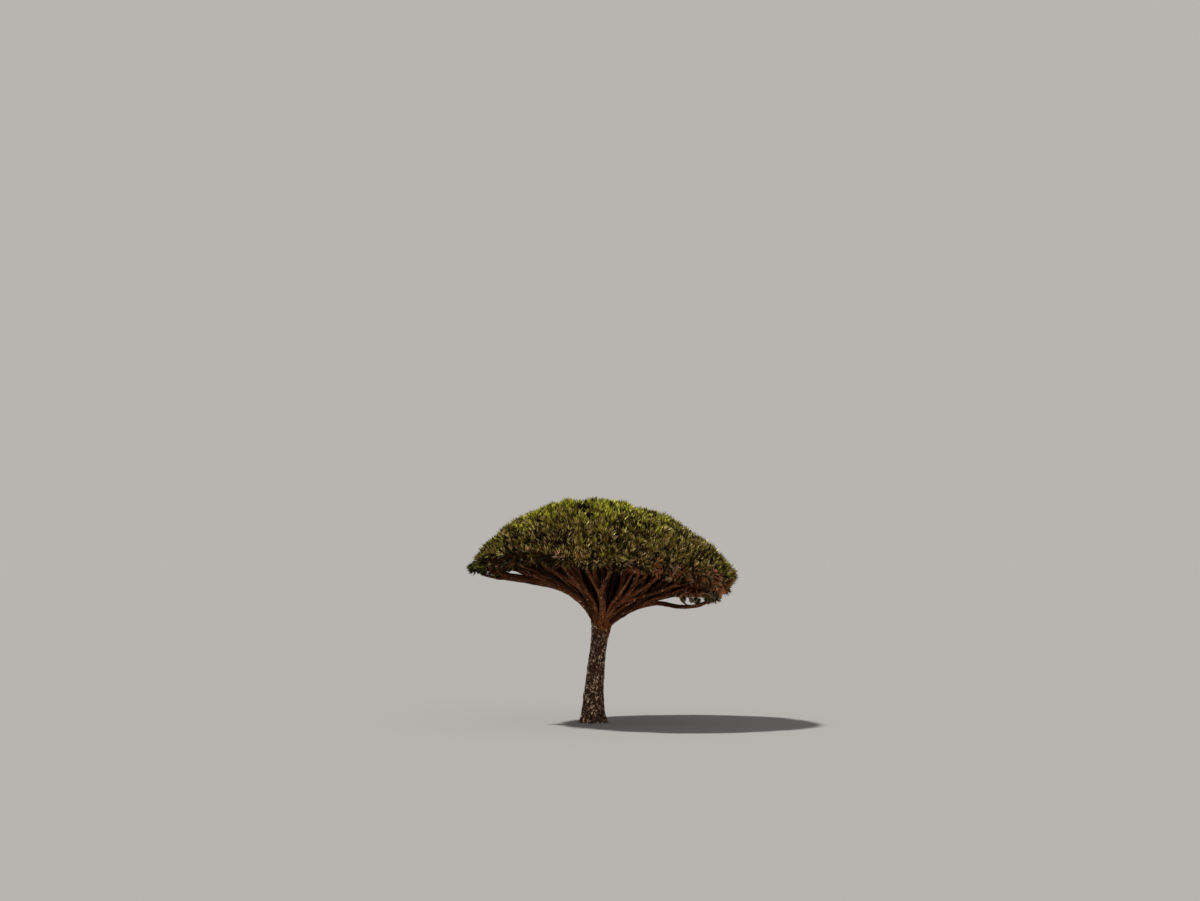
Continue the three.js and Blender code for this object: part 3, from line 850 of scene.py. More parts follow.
# ---------------------------------------------------------------- rosettes
def poisson(points, gap, start=None):
    """The points, in order, that keep at least gap from those taken before."""
    grid = {}
    taken = []
    pts = list(start) if start is not None else []

    def key(p):
        return (int(p[0] // gap), int(p[1] // gap), int(p[2] // gap))

    for p in pts:
        grid.setdefault(key(p), []).append(p)
    g2 = gap * gap
    for n, p in enumerate(points):
        k = key(p)
        ok = True
        for dx in (-1, 0, 1):
            for dy in (-1, 0, 1):
                for dz in (-1, 0, 1):
                    for q in grid.get((k[0] + dx, k[1] + dy, k[2] + dz), ()):
                        if (p[0] - q[0]) ** 2 + (p[1] - q[1]) ** 2 + (p[2] - q[2]) ** 2 < g2:
                            ok = False
                            break
                    if not ok:
                        break
                if not ok:
                    break
            if not ok:
                break
        if ok:
            grid.setdefault(k, []).append(p)
            taken.append(n)
    return taken


def crown_skin(w, a):
    """A point of the crown's skin. w runs from 0 on top to 1 at the widest line, then to 1.5 at the rim's lowest line and on to 2 under it."""
    w = np.asarray(w, float)
    s_top = np.sin(np.clip(w, 0, 1) * math.pi / 2)
    t = np.clip((w - 1) / 0.5, 0, 1)
    s_wall = mix(1.0, rim_under_share(a), t * t)
    z_wall = mix(edge_z(a), rim_under_z(a), t)
    u = np.clip((w - 1.5) / 0.5, 0, 1)
    s_under = rim_under_share(a) * (1 - 0.42 * u)
    share = np.where(w <= 1, s_top, np.where(w <= 1.5, s_wall, s_under))
    r = share * crown_radius(a)
    x, y = CROWN_X + r * np.cos(a), r * np.sin(a)
    top = dome_z(s_top, a)
    top = top - (1 - s_top**6) * 0.09 * fold_at(x, y)
    z = np.where(w <= 1, top, np.where(w <= 1.5, z_wall, under_z(s_under, a)))
    return np.stack([x, y, z], 1)


def skin_normal(w, a):
    e = 2e-3
    du = crown_skin(w + e, a) - crown_skin(w - e, a)
    da = crown_skin(w, a + e) - crown_skin(w, a - e)
    n = np.cross(du, da)
    n = unit(n)
    mid = np.array([CROWN_X, 0, 4.9])
    p = crown_skin(w, a)
    out = p - mid
    flip = np.sum(n * out, 1) < 0
    under = w > 1.5
    n[flip & ~under] *= -1
    n[under & (n[:, 2] > 0)] *= -1
    return n


def clumped(points, k, rounds=10):
    """Groups the points round k middles. The points come in random order."""
    mid = points[np.linspace(0, len(points) - 1, k).astype(int)].copy()
    for _ in range(rounds):
        d = ((points[:, None, :] - mid[None, :, :]) ** 2).sum(2)
        own = d.argmin(1)
        for j in range(k):
            if np.any(own == j):
                mid[j] = points[own == j].mean(0)
    return own, mid


# Where sky shows through under the crown from the front: x, z and half sizes.
GAPS = ((-2.585, 4.745, 0.23, 0.075), (-0.34, 4.27, 0.08, 0.08), (2.53, 3.850, 0.36, 0.110), (3.34, 3.862, 0.32, 0.075), (-3.334, 4.79, 0.07, 0.045))
FRONT = (0.24, 77.69, 5.45)


def from_front(p):
    """Where a point appears from the front, at the depth of the trunk."""
    k = FRONT[1] / (FRONT[1] + p[:, 1])
    return FRONT[0] + (p[:, 0] - FRONT[0]) * k, FRONT[2] + (p[:, 2] - FRONT[2]) * k


def in_gaps(p, grow=1.0, count=5):
    x, z = from_front(p)
    hit = np.zeros(len(p), bool)
    for cx, cz, rx, rz in GAPS[:count]:
        hit |= ((x - cx) / (rx * grow)) ** 2 + ((z - cz) / (rz * grow)) ** 2 < 1
    return hit


M = 70000
w_try = np.where(rng.random(M) < 0.75, np.arccos(np.clip(rng.random(M), 0, 1)) / (math.pi / 2), 1 + 0.5 * rng.random(M))
a_try = rng.random(M) * 2 * math.pi
skin = crown_skin(w_try, a_try)
keep = poisson(skin, TIP_SPACING)
w_tip, a_tip = w_try[keep], a_try[keep]
p_tip, n_tip = skin[keep], skin_normal(w_tip, a_tip)
shell = len(p_tip)

# The rosettes stand in clumps of about ten, each a low cushion of its own.
clump_of, clump_mid = clumped(p_tip, shell // 11)
off = np.linalg.norm(p_tip - clump_mid[clump_of], axis=1)
reach = np.array([off[clump_of == j].max() if np.any(clump_of == j) else 1 for j in range(len(clump_mid))])
crease = CREASE * np.clip(off / np.maximum(reach[clump_of], 0.15), 0, 1) ** 2.2
clump_rise = rng.uniform(-0.03, 0.04, len(clump_mid))
lumps = 0.030 * noise(p_tip * 1.3, 5) + clump_rise[clump_of] + 0.02 * rng.standard_normal(shell)
heart = p_tip - n_tip * (INSET + crease + np.clip(lumps, -0.05, 0.08))[:, None]
lift = np.where(w_tip <= 1, 0.85, 0.55)
away = unit(p_tip - (clump_mid[clump_of] - n_tip * 0.35))
axis = unit(n_tip * 0.55 + away * 0.5 + np.array([0, 0, 1]) * lift[:, None] + 0.15 * rng.standard_normal((shell, 3)))
kind = np.where(w_tip <= 1, 0, 1)

# Brown rosettes on the underside, near the rim, more of them on the right.
M2 = 14000
a_u = rng.random(M2) * 2 * math.pi
right = 0.5 + 0.5 * np.cos(a_u - math.radians(20))
w_u = 1.5 + 0.5 * rng.random(M2) ** 1.3 * (0.25 + 0.75 * right)
p_u = crown_skin(w_u, a_u)
keep_u = poisson(p_u, 0.19)
keep_u = [i for i in keep_u if rng.random() < 0.45 + 0.55 * right[i]]
w_u, a_u, p_u = w_u[keep_u], a_u[keep_u], p_u[keep_u]
n_u = skin_normal(w_u, a_u)
outward = np.stack([np.cos(a_u), np.sin(a_u), np.zeros(len(a_u))], 1)
heart_u = p_u + np.array([0, 0, 0.14]) + 0.035 * rng.standard_normal(p_u.shape)
axis_u = unit(0.45 * n_u + 0.75 * outward + 0.35 * np.array([0, 0, 1]) + 0.3 * rng.standard_normal(p_u.shape))

# Low sprays round the gap on the left, between the boughs and the dome.
q = rng.random((900, 3))
a_l = LOW_LEFT_A + math.radians(30) * (2 * q[:, 0] - 1)
r_l = 1.7 + 2.05 * q[:, 1]
p_l = np.stack([HEAD[0] + r_l * np.cos(a_l), HEAD[1] + r_l * np.sin(a_l), 4.86 + 0.22 * q[:, 2] + 0.05 * (r_l < 2.3)], 1)
p_l = p_l[~in_gaps(p_l + np.array([0, 0, 0.03]), 1.45)]
p_l = p_l[poisson(p_l, 0.20)]
p_l = p_l[(rng.random(len(p_l)) < 0.5) | (p_l[:, 0] < -2.3)]
q = rng.random((900, 3))
a_m = LOW_LEFT_A + math.radians(13) * (2 * q[:, 0] - 1)
r_m = 3.17 + 0.58 * q[:, 1]
p_m = np.stack([HEAD[0] + r_m * np.cos(a_m), HEAD[1] + r_m * np.sin(a_m), 4.665 + 0.17 * q[:, 2] + 0.08 * (r_m - 2.9)], 1)
p_m = p_m[~in_gaps(p_m + np.array([0, 0, 0.03]), 1.45)]
p_l = np.vstack([p_l, p_m[poisson(p_m, 0.15)]])
heart_u = np.vstack([heart_u, p_l])
axis_u = np.vstack(
    [
        axis_u,
        unit(np.stack([-np.ones(len(p_l)), np.zeros(len(p_l)), np.full(len(p_l), 0.5)], 1) + 0.35 * rng.standard_normal(p_l.shape)),
    ]
)
# And over the gap on the right.
q = rng.random((900, 3))
a_r = LOW_RIGHT_A + math.radians(15) * (2 * q[:, 0] - 1)
r_r = 2.15 + 1.25 * q[:, 1]
p_r = np.stack([HEAD[0] + r_r * np.cos(a_r), HEAD[1] + r_r * np.sin(a_r), 4.055 + 0.10 * q[:, 2]], 1)
p_r = p_r[poisson(p_r, 0.16)]
heart_u = np.vstack([heart_u, p_r])
axis_u = np.vstack(
    [
        axis_u,
        unit(np.stack([np.full(len(p_r), 0.6), np.zeros(len(p_r)), np.full(len(p_r), -0.2)], 1) + 0.35 * rng.standard_normal(p_r.shape)),
    ]
)
under_of, under_mid = clumped(heart_u, max(len(heart_u) // 6, 1))

heart = np.vstack([heart, heart_u])
axis = np.vstack([axis, axis_u])
kind = np.concatenate([kind, np.full(len(heart_u), 2)])
clump = np.concatenate([clump_of, under_of + len(clump_mid)])

# Sprays of old, shaded leaves on the branches just inside the shell.
keep_i = poisson(skin[w_try < 1.30], 0.170)
w_i, a_i = w_try[w_try < 1.30][keep_i], a_try[w_try < 1.30][keep_i]
n_i = skin_normal(w_i, a_i)
deep_in = 0.20 + 0.03 * rng.standard_normal(len(w_i)) + np.where(np.arange(len(w_i)) % 3 == 2, 0.16, 0.0)
inner_heart = crown_skin(w_i, a_i) - n_i * (INSET + deep_in)[:, None]
inner_axis = unit(n_i + np.array([0, 0, 0.3]) + 0.25 * rng.standard_normal((len(w_i), 3)))


def tuft(centre, size, count, seed):
    r = np.random.default_rng(seed)
    d = unit(r.standard_normal((count, 3)))
    d[:, 2] = np.abs(d[:, 2]) * 0.9 - 0.25
    d = unit(d)
    return centre + d * np.array(size) * 0.42, unit(d + np.array([0, 0, 0.45]))


tufts = {
    "tuft_left_tip": (polar(LOW_LEFT_A, 4.0, 4.86), (0.225, 0.27, 0.225), 16, 3),
    "tuft_low_right": (polar(LOW_RIGHT_A, 3.56, 3.90), (0.30, 0.26, 0.20), 17, 5),
    "tuft_low_middle": (polar(LOW_RIGHT_A - math.radians(1), 3.02, 3.86), (0.34, 0.20, 0.16), 6, 7),
    "tuft_low_inner": (polar(LOW_RIGHT_A + math.radians(1), 2.58, 3.86), (0.08, 0.10, 0.34), 4, 9),
}
tuft_tips = {}
for name, (c, size, count, seed) in tufts.items():
    h, ax = tuft(c, size, count, seed)
    tuft_tips[name] = list(range(len(heart), len(heart) + count))
    heart = np.vstack([heart, h])
    axis = np.vstack([axis, ax])
    kind = np.concatenate([kind, np.full(count, 3)])
    clump = np.concatenate([clump, np.full(count, clump.max() + 1)])
# The crown's brown part: the underside, and low on its right the rim as well.
LEAF_LINE = (
    (-4.3, 4.40), (-3.75, 4.55), (-3.50, 4.95), (-3.25, 5.26), (-2.5, 5.27), (-1.7, 5.20), (-1.0, 5.13),
    (-0.5, 4.97), (-0.2, 4.93), (0.25, 4.98), (0.9, 4.96), (1.5, 4.93), (2.26, 4.93), (3.0, 4.90), (3.66, 4.88), (4.1, 4.78), (4.45, 4.45),
)
front_x, front_z = from_front(heart + axis * 0.06)
leaf_line = np.interp(front_x, [q[0] for q in LEAF_LINE], [q[1] for q in LEAF_LINE])
leaf_line = leaf_line + 0.03 + 0.06 * noise(heart * 1.7, 61)
soft = 0.6 * noise(heart * 0.9, 63) + 0.35 * noise(heart * 3.1, 64)
brown = (kind < 2) & (front_z < leaf_line + np.where(front_x > 1.5, 0.05 * noise(heart * 5, 65), 0))
brown &= heart[:, 1] + soft < np.where(heart[:, 0] > 1.5, 2.1, 0.9)
brown |= kind == 2
# On the left and in front the branches show bare below the leaves.
low_line = leaf_line + np.where(front_x < -0.6, 0.07, 0.03)
bare = (kind < 2) & (front_z < low_line) & (front_x < 1.4) & (front_x > -3.45) & (heart[:, 1] < 0.9)
inner_x, inner_z = from_front(inner_heart)
inner_bare = (inner_z < np.interp(inner_x, [q[0] for q in LEAF_LINE], [q[1] for q in LEAF_LINE]) + 0.04) & (inner_heart[:, 1] < 0.9)
inner_bare &= (inner_x > -3.3) & (inner_x < 1.3) & (rng.random(len(inner_heart)) < 0.85)
inner_heart, inner_axis = inner_heart[~inner_bare], inner_axis[~inner_bare]
alive = ~(in_gaps(heart + axis * 0.08, 1.35) & (kind < 3)) & ~(bare & (rng.random(len(heart)) < np.where(front_x < -0.6, 0.97, 0.75)))
# Small pockets without a rosette, dark inside.
pocket = (kind < 2) & ~brown & alive & (noise(heart * 3.8, 83) > 0.68)
alive &= ~pocket
w_first = np.concatenate([n_tip, np.zeros((len(heart) - shell, 3))])
inner_heart = np.vstack([inner_heart, heart[pocket] - w_first[pocket] * 0.16])
inner_axis = np.vstack([inner_axis, unit(w_first[pocket] + np.array([0, 0, 0.2]))])
print("rosettes", len(heart), "shell", shell, "under", len(heart_u), "bare", int((~alive).sum()))

# ---------------------------------------------------------------- branching
TWIG = 0.0165


def girth(n):
    return TWIG * n**0.30


paths = []  # (points, radii, tip count, group)


def hermite(p0, d0, p1, d1, n):
    k = np.linalg.norm(p1 - p0)
    return bezier(p0, p0 + d0 * k * 0.36, p1 - d1 * k * 0.33, p1, n)


def halves(q, weight):
    """Cuts a cloud of points in two across its longest way."""
    n = len(q)
    q = q - q.mean(0)
    u, s, vt = np.linalg.svd(q, full_matrices=False)
    ax = vt[0]
    if n > 3 and rng.random() < 0.35:
        ax = unit(vt[0] + vt[1] * rng.uniform(-0.8, 0.8))
    order = np.argsort(q @ ax)
    share = np.cumsum(np.asarray(weight)[order]) / np.sum(weight)
    cut = int(np.searchsorted(share, rng.uniform(0.38, 0.62))) + 1
    cut = min(max(cut, 1), n - 1)
    return order[:cut], order[cut:]


def step(start, along, aim, n, group, g, wander=0.035):
    """One stretch of branch towards aim. Returns its end and direction."""
    f = min(1.12 / (math.log2(n) + 1), 0.5)
    dist = np.linalg.norm(aim - start)
    p = start + (aim - start) * f + rng.standard_normal(3) * dist * wander
    d1 = unit(unit(aim - p) * 0.7 + unit(p - start) * 0.5 + np.array([0, 0, 0.10]))
    m = 4 if n < 12 else 5
    g1 = min(girth(n), g) * 0.96
    paths.append((hermite(start, along, p, d1, m), np.linspace(g * 1.04, g1, m), n, group))
    return p, d1, g1


def grow(start, along, tips, group, r_in=None):
    n = len(tips)
    if n == 0:
        return
    g = girth(n) if r_in is None else min(girth(n), r_in)
    if n == 1:
        i = tips[0]
        end = heart[i] + axis[i] * 0.02
        pts = hermite(start, along, end, axis[i], 3)
        paths.append((pts, np.array([g, TWIG * 0.92, TWIG * 1.15]), 1, group))
        return
    base = heart[tips] - axis[tips] * 0.10
    p, d1, g1 = step(start, along, base.mean(0), n, group, g)
    one, two = halves(base, np.ones(n))
    t = np.asarray(tips)
    grow(p, d1, list(t[one]), group, g1 * 1.02)
    grow(p, d1, list(t[two]), group, g1 * 1.02)


def grow_clumps(start, along, group_clumps, group, r_in):
    """Branches to several clumps: first between the clumps, then inside each."""
    if len(group_clumps) == 1:
        grow(start, along, members[group_clumps[0]], group, r_in)
        return
    n = sum(len(members[c]) for c in group_clumps)
    g = min(girth(n), r_in)
    mid = np.array([clump_base[c] for c in group_clumps])
    weight = np.array([len(members[c]) for c in group_clumps], float)
    aim = (mid * weight[:, None]).sum(0) / weight.sum()
    p, d1, g1 = step(start, along, aim, n, group, g)
    one, two = halves(mid, weight)
    t = np.asarray(group_clumps)
    grow_clumps(p, d1, list(t[one]), group, g1 * 1.02)
    grow_clumps(p, d1, list(t[two]), group, g1 * 1.02)


# Every clump belongs to the limb or stem whose end is nearest.
members, clump_base = {}, {}
idx_all = np.arange(len(heart))
for c in np.unique(clump[kind < 3]):
    tips = list(idx_all[(clump == c) & alive & (kind < 3)])
    if tips:
        members[c] = tips
        clump_base[c] = (heart[tips] - axis[tips] * 0.30).mean(0)
ids = list(members)
bases = np.array([clump_base[c] for c in ids])
names = [n for n in limbs if not n.startswith(("bough", "low"))]
ends = np.array([limbs[n][0][-1] for n in names])
d = np.sqrt(((bases[:, None, :] - ends[None, :, :]) ** 2 * np.array([1, 1, 1.6])).sum(2))
owner = np.argmin(d, 1)
for li in range(len(names)):  # no main limb stays bare
    if not np.any(owner == li) and (names[li] in cad_limbs or "spot" in names[li] or "front" in names[li]):
        for c in np.argsort(d[:, li]):
            if np.sum(owner == owner[c]) > 1:
                owner[c] = li
                break
for li, name in enumerate(names):
    mine = [i for i in range(len(ids)) if owner[i] == li]
    if not mine:
        del limbs[name]
        continue
    pts, rad = limbs[name]
    last = len(pts) - 1
    stops = [int(round(t * last)) for t in (0.30, 0.45, 0.60, 0.74, 0.87, 1.0)]
    tangent = unit(np.gradient(pts, axis=0))
    at = {}
    for i in mine:
        best = stops[0]
        for k in stops:
            away = bases[i] - pts[k]
            if np.dot(unit(away), tangent[k]) > 0.62 or (k == last and np.dot(unit(away), tangent[k]) > 0.35):
                best = k
        at.setdefault(best, []).append(i)
    if last not in at:
        k = max(at)
        at[last] = at.pop(k)
    for k, group in at.items():
        aim = bases[group].mean(0)
        along = unit(tangent[k] * 0.9 + unit(aim - pts[k]) * 0.55) if k < last else tangent[k]
        grow_clumps(pts[k], along, [ids[i] for i in group], li, rad[k] * (0.9 if k < last else 1.0))

for tname, lname, t in (
    ("tuft_left_tip", "low_bough_left", 1.0),
    ("tuft_low_right", "low_bough_right", 1.0),
    ("tuft_low_middle", "low_bough_right", 0.78),
    ("tuft_low_inner", "low_bough_right", 0.62),
):
    pts, rad = limbs[lname]
    k = int(round(t * (len(pts) - 1)))
    along = unit(pts[min(k + 1, len(pts) - 1)] - pts[max(k - 1, 0)])
    if t < 1:
        along = unit(along + np.array([0, 0, 0.9]))
    grow(pts[k], along, tuft_tips[tname], 40, rad[k] * 0.9)

print("stems", len(limbs), "branches", len(paths))

# Old leaves along the branches under the dome's middle.
spot_p, spot_d = [], []
for pts, rad, tips, group in paths:
    if 2 <= tips <= 14:
        for k in (1, len(pts) - 2):
            spot_p.append(pts[k])
            spot_d.append(unit(pts[k] - pts[k - 1]))
spot_p, spot_d = np.array(spot_p), np.array(spot_d)
share = np.hypot(spot_p[:, 0] - CROWN_X, spot_p[:, 1]) / CROWN_R
inside = (share < 0.66) & (spot_p[:, 2] > 5.02)
spot_p, spot_d = spot_p[inside], spot_d[inside]
pick = poisson(spot_p, 0.21, start=list(inner_heart))
print("inner sprays", len(inner_heart), "on branches", len(pick))
inner_heart = np.vstack([inner_heart, spot_p[pick]])
inner_axis = np.vstack([inner_axis, unit(spot_d[pick] + 0.3 * rng.standard_normal((len(pick), 3)))])

# ---------------------------------------------------------------- wood
TRUNK_Z = np.concatenate([[-0.06, 0.0], np.linspace(0.05, 3.30, 34), np.linspace(3.34, 3.545, 7)])


def trunk_part():
    zs = TRUNK_Z
    sides = 48
    ang = np.arange(sides) * 2 * math.pi / sides
    v = []
    for z in zs:
        r = trunk_radius(z) * trunk_lobes(z, ang)
        v.append(np.stack([lean_at(z) + r * np.cos(ang), r * np.sin(ang), np.full(sides, z)], 1))
    n = len(zs)
    v = np.vstack(v + [[[0, 0, zs[0]]], [[float(lean_at(zs[-1])), 0, zs[-1] + 0.01]]])
    i = np.arange(sides)
    j = (i + 1) % sides
    q = np.concatenate(
        [np.stack([k * sides + i, k * sides + j, (k + 1) * sides + j, (k + 1) * sides + i], 1) for k in range(n - 1)]
    )
    t0 = np.stack([np.full(sides, n * sides), j, i], 1)
    t1 = np.stack([np.full(sides, n * sides + 1), (n - 1) * sides + i, (n - 1) * sides + j], 1)
    return v, q, np.concatenate([t0, t1])


big_names = [n for n in limbs if n.startswith(("bough", "inner"))]
small_names = [n for n in limbs if n.startswith(("limb", "riser", "low"))]
stem_names = [n for n in limbs if n.startswith("stem")]
big = [trunk_part()] + [tube(limbs[n][0], limbs[n][1] * 1.04, 14) for n in big_names]
wood = remeshed("trunk_and_boughs", big, 0.0185, 5)
small = [tube(limbs[n][0], limbs[n][1] * 1.04, 12) for n in small_names]
limb_ob = remeshed("limbs", small, 0.0215, 3)


def resampled(points, gap):
    seg = np.linalg.norm(np.diff(points, axis=0), axis=1)
    s = np.concatenate([[0], np.cumsum(seg)])
    n = max(int(s[-1] / gap), 2)
    t = np.linspace(0, s[-1], n)
    return np.stack([np.interp(t, s, points[:, k]) for k in range(3)], 1), t


def stem_frames(names, with_trunk):
    """Samples along the stems, each with its own directions, for the bark."""
    at, ss, tt, uu, vv, ident = [], [], [], [], [], []
    lines = []
    if with_trunk:
        z = np.linspace(-0.05, 3.2, 130)
        lines.append(np.stack([lean_at(z), np.zeros(len(z)), z], 1))
    lines += [limbs[n][0] for n in names]
    for k, line in enumerate(lines):
        p, s = resampled(line, 0.03)
        tan = unit(np.gradient(p, axis=0))
        side = unit(np.cross(tan[0], [0.13, 0.29, 1.0] if abs(tan[0][2]) < 0.9 else [1.0, 0.1, 0.0]))
        us, vs = [], []
        for t in tan:
            side = unit(side - t * np.dot(side, t))
            us.append(side)
            vs.append(np.cross(t, side))
        at.append(p)
        ss.append(s)
        tt.append(tan)
        uu.append(np.array(us))
        vv.append(np.array(vs))
        ident.append(np.full(len(p), k))
    return [np.concatenate(x) for x in (at, ss, tt, uu, vv, ident)]


def grain(ob, frames):
    """Each point's place in its stem's own directions, kept for the bark."""
    at, ss, tt, uu, vv, ident = frames
    tree = KDTree(len(at))
    for i, p in enumerate(at):
        tree.insert(p, i)
    tree.balance()
    co = coords(ob.data)
    hit = np.fromiter((tree.find(p)[1] for p in co), dtype=np.int64, count=len(co))
    off = co - at[hit]
    g = np.stack(
        [
            (off * uu[hit]).sum(1) + 3.71 * ident[hit],
            (off * vv[hit]).sum(1) + 1.93 * ident[hit],
            ss[hit] + (off * tt[hit]).sum(1),
        ],
        1,
    )
    a = ob.data.attributes.new("grain", "FLOAT_VECTOR", "POINT")
    a.data.foreach_set("vector", np.ascontiguousarray(g, dtype=np.float32).ravel())
    return g


def relief(ob, g, is_trunk, scale=1.0):
    me = ob.data
    co, no = coords(me), normals(me)
    low = np.exp(-np.maximum(co[:, 2], 0) / 2.4) if is_trunk else 0
    amp = scale * (0.50 + 1.0 * low)
    h = 0.010 * fractal(g * [9, 9, 2.2], 3, 11)
    h = h + 0.006 * fractal(g * [22, 22, 7], 3, 31)
    # long clefts that run up the stem
    ridges = 1 - np.abs(noise(g * [15, 15, 1.7], 57))
    h = h - 0.011 * np.clip(ridges - 0.70, 0, 1) / 0.30
    # faint rings and swellings where old rosettes grew
    h = h + 0.004 * np.sin(g[:, 2] * 2 * math.pi / 0.36 + 2.5 * noise(g * [2, 2, 1.2], 19))
    knots = np.clip(noise(g * [7, 7, 4.5], 77) - 0.42, 0, 1)
    h = h + 0.040 * knots
    co = co + no * (h * amp)[:, None]
    if is_trunk:
        co[:, 2] = np.where(co[:, 2] < 0.006, 0.0, co[:, 2])
    set_coords(me, co)


relief(wood, grain(wood, stem_frames(big_names, True)), True)
relief(limb_ob, grain(limb_ob, stem_frames(small_names, False)), False)

stem_parts = []
for n in stem_names:
    p, _ = resampled(limbs[n][0], 0.075)
    s = np.linspace(0, 1, len(p))
    r = np.interp(s, np.linspace(0, 1, len(limbs[n][1])), limbs[n][1])
    bumps = 1 + 0.10 * (rng.random((len(p), 9)) - 0.5) + 0.05 * rng.standard_normal((len(p), 1))
    stem_parts.append(tube(p, r, 9, turn=rng.random() * 3, bumps=bumps))
v, q, t = join_tubes(stem_parts)
stem_ob = new_mesh("stems", v, [q, t])
grain(stem_ob, stem_frames(stem_names, False))

wood.data.materials.clear()
wood.data.materials.append(trunk_bark)
wood.data.materials.append(neck_bark)
wood.data.materials.append(bough_bark)
limb_ob.data.materials.clear()
limb_ob.data.materials.append(bough_bark)
limb_ob.data.materials.append(stem_bark)
stem_ob.data.materials.append(stem_bark)
stem_ob.data.materials.append(bough_bark)
stem_ob.data.materials.append(deep_shade_bark)


def stem_tone(n):
    """Light bark where the light falls, dark in the shade inside the fan."""
    if n.startswith(("stem_inner", "stem_fill", "stem_spot", "stem_between")):
        return 2
    if n.startswith("stem_left"):
        return 0
    return 1 if n.startswith("stem_right") or limbs[n][0][-1][1] < -0.3 else 0


stem_shade_tone = [stem_tone(n) for n in stem_names]
stem_ob.data.polygons.foreach_set(
    "material_index",
    np.concatenate(
        [np.full(len(part[1]), m) for part, m in zip(stem_parts, stem_shade_tone)]
        + [np.full(len(part[2]), m) for part, m in zip(stem_parts, stem_shade_tone)]
    ).astype(np.int32),
)


def split_by_height(ob):
    """The trunk takes the grey bark and the boughs the red one."""
    me = ob.data
    n = len(me.polygons)
    c = np.empty(n * 3, np.float32)
    me.polygons.foreach_get("center", c)
    c = c.reshape(-1, 3)
    wave = 0.22 * noise(c * [5, 5, 1.1], 91) + 0.12 * noise(c * [16, 16, 5], 92)
    slope = 0.22 * np.clip((c[:, 0] - lean_at(c[:, 2])) / 0.3, -1, 1)
    above = (c[:, 2] > 2.80 + wave - slope).astype(np.int32) + (c[:, 2] > 3.10 + wave * 1.2 - slope).astype(np.int32)
    me.polygons.foreach_set("material_index", above)
    me.update()


split_by_height(wood)


def shaded_left(ob):
    """The limbs on the left lie in the crown's shade and are darker."""
    me = ob.data
    n = len(me.polygons)
    c = np.empty(n * 3, np.float32)
    me.polygons.foreach_get("center", c)
    c = c.reshape(-1, 3)
    me.polygons.foreach_set("material_index", (c[:, 0] < -0.95 + 0.45 * noise(c * [1.3, 1.3, 4], 95)).astype(np.int32))
    me.update()


shaded_left(limb_ob)

branch_parts, twig_parts, b_mat, t_mat = [], [], [], []
for n, (pts, rad, tips, group) in enumerate(paths):
    thick = tips >= 5
    sides = 7 if tips >= 20 else (6 if tips >= 5 else (5 if tips > 1 else 4))
    bumps = 1 + 0.09 * (rng.random((len(pts), sides)) - 0.5) * 2
    part = tube(pts, rad, sides, turn=rng.random() * 3, bumps=bumps)
    m = int(rng.integers(0, 4)) if rng.random() < 0.3 else (group * 7 + tips) % 4
    (branch_parts if thick else twig_parts).append(part)
    (b_mat if thick else t_mat).append(m)


def tube_object(name, parts, mats):
    v, q, t = join_tubes(parts)
    mi = np.concatenate([np.full(len(p[1]), m) for p, m in zip(parts, mats)] + [np.full(len(p[2]), m) for p, m in zip(parts, mats)])
    ob = new_mesh(name, v, [q, t], mi)
    for mat in branch_mats:
        ob.data.materials.append(mat)
    return ob


branch_ob = tube_object("crown_branches", branch_parts, b_mat)
twig_ob = tube_object("crown_twigs", twig_parts, t_mat)

